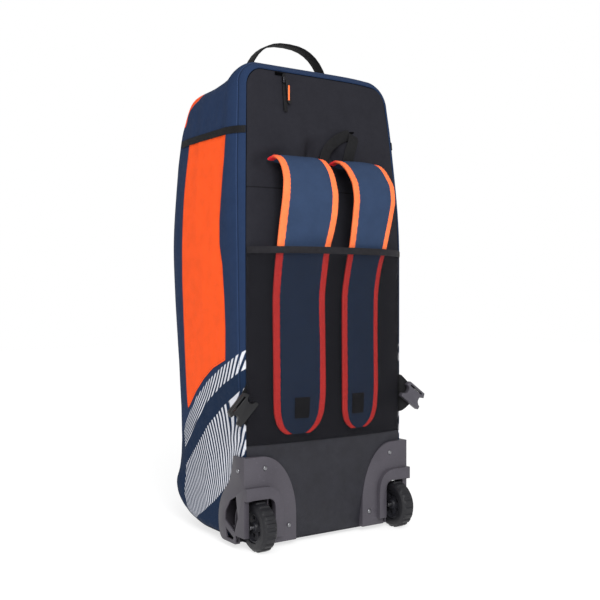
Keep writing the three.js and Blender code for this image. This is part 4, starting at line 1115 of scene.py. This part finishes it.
def build_pad(side, width):
    """The padded core: a crowned face with soft channels beside its bindings."""
    across = np.linspace(0, 1, 25)
    seam = ((BINDING - BINDING_OVERLAP) / width)[:, None]
    grid = seam + (1 - 2 * seam) * across[None, :]
    at = np.broadcast_to(STRAP_STEPS[:, None], grid.shape)
    pad = np.sqrt(np.maximum(1 - abs(2 * across - 1) ** 5, 0))[None, :]
    soft = 0.9 * noise(strap_point(side, at, grid, 0.0 * grid), (55, 45, 70), 31)
    face = strap_point(side, at, grid, 0.6 - (2.6 + soft) * pad)
    back = strap_point(side, at, grid, 4.0 + 5.5 * pad)
    core = loft_piece(f"strap_{side}_pad", np.concatenate([face, back[:, ::-1]], axis=1), strap_cloth)
    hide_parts(f"strap_{side}")


def build_binding(side, width, edge):
    """A flattened tape folded over one edge of the strap, a little puckered."""
    beside, outward = rounded_section(0.55, 0.7)
    half_tape = (BINDING / 2) / width
    place = half_tape[:, None] + half_tape[:, None] * beside[None, :]
    place = 1 - place if edge == "b" else place
    pucker = 0.25 * np.sin(np.cumsum(np.full(len(STRAP_STEPS), 1.9)))[:, None]
    sink = 2.2 - 2.9 * outward[None, :] + pucker * (outward[None, :] > 0)
    at = np.broadcast_to(STRAP_STEPS[:, None], place.shape)
    tape = strap_point(side, at, place, sink)
    tape = tape if edge == "b" else tape[:, ::-1]
    piece = loft_piece(f"strap_{side}_tape_{edge}", tape, binding_tape)
    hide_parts(f"strap_{side}_binding_{edge}")


for side in ("left", "right"):
    strap_width = (strap_edge(STRAP_STEPS, side, "b") - strap_edge(STRAP_STEPS, side, "a"))[:, 0]
    build_pad(side, strap_width)
    build_binding(side, strap_width, "a")
    build_binding(side, strap_width, "b")


# Pieces that keep the solid's shape, with rounded edges
MERGE_M, FLAT_ANGLE, HARD_ANGLE, SHARP_ANGLE = 0.00002, 1.5, 28.0, 36.0


def dress(node, look, bevel, body="root", along=None):
    """The CAD piece with its hard edges rounded, and lengths for a weave if it is cloth."""
    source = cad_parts[node]
    mesh = source.data.copy()
    mesh.transform(source.matrix_world)
    work = bmesh.new()
    work.from_mesh(mesh)
    bmesh.ops.remove_doubles(work, verts=work.verts, dist=MERGE_M)
    bmesh.ops.dissolve_limit(work, angle_limit=math.radians(FLAT_ANGLE), verts=work.verts,
                             edges=work.edges)
    hard = [e for e in work.edges
            if len(e.link_faces) == 2 and e.calc_face_angle(0.0) > math.radians(HARD_ANGLE)]
    bmesh.ops.bevel(work, geom=hard, offset=bevel * 0.001, offset_type="OFFSET", segments=2,
                    profile=0.5, affect="EDGES", clamp_overlap=True)
    work.to_mesh(mesh)
    work.free()
    if along:
        points = mesh_points(mesh) * 1000.0 - SHIFT
        lengths = along(points) if callable(along) else points[:, along].T
        add_marks(mesh, dict(zip("st", lengths)))
    mesh.materials.clear()
    mesh.materials.append(look)
    mesh.shade_smooth()
    mesh.set_sharp_from_angle(angle=math.radians(SHARP_ANGLE))
    piece = place_object(node + "_dressed", mesh)
    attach(piece, body)
    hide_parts(node)
    return piece


def mesh_points(mesh):
    flat = np.empty(len(mesh.vertices) * 3)
    mesh.vertices.foreach_get("co", flat)
    return flat.reshape(-1, 3)


def move(piece, by_mm, factors=(1.0, 1.0, 1.0)):
    """A piece scaled about its own middle and moved."""
    points = mesh_points(piece.data)
    middle = (points.min(axis=0) + points.max(axis=0)) / 2
    placed = middle + (points - middle) * np.array(factors) + np.array(by_mm) * 0.001
    piece.data.vertices.foreach_set("co", placed.ravel())


# Lengths across and along a webbing: the axes of one that hangs and of one that runs back, and
# the handle's arc
HANGING, RUNNING_BACK = (0, 2), (2, 1)


def round_the_handle(points):
    middle_x, radius = 6.0, 78.0
    turn = np.arctan2(points[:, 2] - TOP_HEIGHT, points[:, 0] - middle_x)
    return points[:, 1], turn * radius


# Webbing from the side seam to the buckle, with its low and high edges
TAB_ROWS = table(("x", "y", "low", "high"), [
    (184, 11, 236, 316), (190, 4, 238, 313), (197, 0.5, 243, 305),
    (205, -2, 250, 296), (212, -3.5, 255, 289), (218, -4, 258, 284),
])


def tab_piece(hand, way):
    across, deep = rounded_section(0.3, 0.8)
    middle = (TAB_ROWS["low"] + TAB_ROWS["high"]) / 2
    tall = TAB_ROWS["high"] - TAB_ROWS["low"]
    rings = np.stack([
        np.broadcast_to(way * TAB_ROWS["x"][:, None], (len(tall), len(deep))),
        TAB_ROWS["y"][:, None] + deep[None, :],
        middle[:, None] + tall[:, None] * across[None, :] / 2,
    ], axis=-1)
    piece = loft_piece(f"buckle_web_{hand}", rings, black_webbing)
    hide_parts(f"buckle_tab_{hand}")


# The buckles look larger than their plain solids, and the left one is painted darker as shade, though
# both are the same plastic
BUCKLE_SCALE = (1.25, 1.25, 1.25)
for hand, way, buckle_look in (("left", -1.0, buckle_shaded), ("right", 1.0, buckle_plastic)):
    dress(f"side_band_{hand}", black_webbing, 0.4, along=RUNNING_BACK)
    dress(f"strap_tab_{hand}", black_webbing, 0.3, along=HANGING)
    tab_piece(hand, way)
    buckle = dress(f"buckle_{hand}", buckle_look, 0.8)
    move(buckle, (0.0, 0.0, 0.0), BUCKLE_SCALE)
    dress(f"wheel_housing_{hand}", moulded_grey, 1.0)
    dress(f"foot_{hand}", moulded_grey, 2.0)
    for rivet in ("top", "low", "side"):
        dress(f"rivet_{rivet}_{hand}", steel, 0.4)
    dress(f"tyre_{hand}", tyre_rubber, 0.7, f"wheel_{hand}")
    dress(f"hub_{hand}", hub_plastic, 0.5, f"wheel_{hand}")
    dress(f"axle_{hand}", steel, 0.4)
dress("top_handle", black_webbing, 0.8, along=round_the_handle)

# The zip is narrower and a little further to the right than its solids
ZIP_RIGHT, ZIP_RAISE, ZIP_NARROWED = 3.0, 6.0, (0.55, 1.0, 1.0)
zip_tape = dress("zip_tape", black_webbing, 0.3, along=HANGING)
move(zip_tape, (ZIP_RIGHT, 0.0, ZIP_RAISE), ZIP_NARROWED)
zip_slider = dress("zip_slider", zip_metal, 0.8)
move(zip_slider, (ZIP_RIGHT, 0.0, 0.0))
zip_puller = dress("zip_puller", zip_grip, 0.5, along=HANGING)
move(zip_puller, (ZIP_RIGHT, 0.0, 0.0))


def tape_piece(name, path, width, thickness, lift, look, replaced=()):
    """Soft tape on the strap face along a path of places, with round selvedges."""
    path = np.array(path, dtype=float)
    run = np.concatenate([[0], np.cumsum(np.linalg.norm(np.diff(path, axis=0), axis=1))])
    rows = {"at": run / run[-1], "x": path[:, 0], "z": path[:, 1]}
    steps = np.linspace(0, 1, 60)
    x, z = follow(rows, "x", steps), follow(rows, "z", steps)
    y = back_face_y(x, z) - lift * np.sin(steps * math.pi) ** 0.5 - thickness / 2 - 0.5
    centre = np.stack([x, y, z], axis=-1)
    along = unit(np.gradient(centre, axis=0))
    beside = unit(np.cross(along, (0.0, -1.0, 0.0)))
    out = np.cross(beside, along)
    a, b = rounded_section(0.35, 0.8)
    a, b = a * width / 2, b * thickness / 2
    rings = centre[:, None] + beside[:, None] * a[None, :, None] + out[:, None] * b[None, :, None]
    piece = loft_piece(name, rings, look, {"s": np.broadcast_to(a[None, :], rings.shape[:2])})
    for node in replaced:
        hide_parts(node)


# Haul webbing, as X and Z along its way from the slot to behind the straps
tape_piece("haul_tape_left", [(62, 806), (44, 800), (20, 787), (0, 768), (-10, 744), (-12, 720)],
           22.0, 1.8, 3.0, black_webbing, ["haul_webbing_left"])
tape_piece("haul_tape_right", [(72, 806), (66, 790), (56, 770), (50, 748)],
           25.0, 1.8, 5.0, black_webbing, ["haul_webbing_right"])

# The short branch of tape at the top left of the zip, drawn in the slot's near-black painted-shadow
# material
zip_low, zip_high = (np.array(corner) * 1000.0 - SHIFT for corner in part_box("zip_tape"))
zip_x, zip_z = (zip_low[0] + zip_high[0]) / 2 + ZIP_RIGHT, zip_high[2] + 3.5
tape_piece("zip_branch", [(zip_x - 20.0, zip_z), (zip_x - 9.0, zip_z), (zip_x + 1.0, zip_z)],
           6.0, 1.6, 0.8, slot_shadow)


def haul_slit():
    """A near-black patch in the panel: painted shadow inside the slot that the haul webbing comes out
    of.
    """
    middle_x, middle_z = 64.0, 810.0
    a, b = rounded_section(1, 1, count=24)
    right, up = 13.0 * a + b, 3.0 * a + 3.0 * b
    rings = []
    for size, sink in ((1.0, 0.3), (0.9, -0.9), (0.5, -1.1)):
        x, z = middle_x + size * right, middle_z + size * up
        rings.append(np.stack([x, back_face_y(x, z) + sink, z], axis=-1))
    piece = loft_piece("haul_slot_shadow", rings, slot_shadow)


haul_slit()
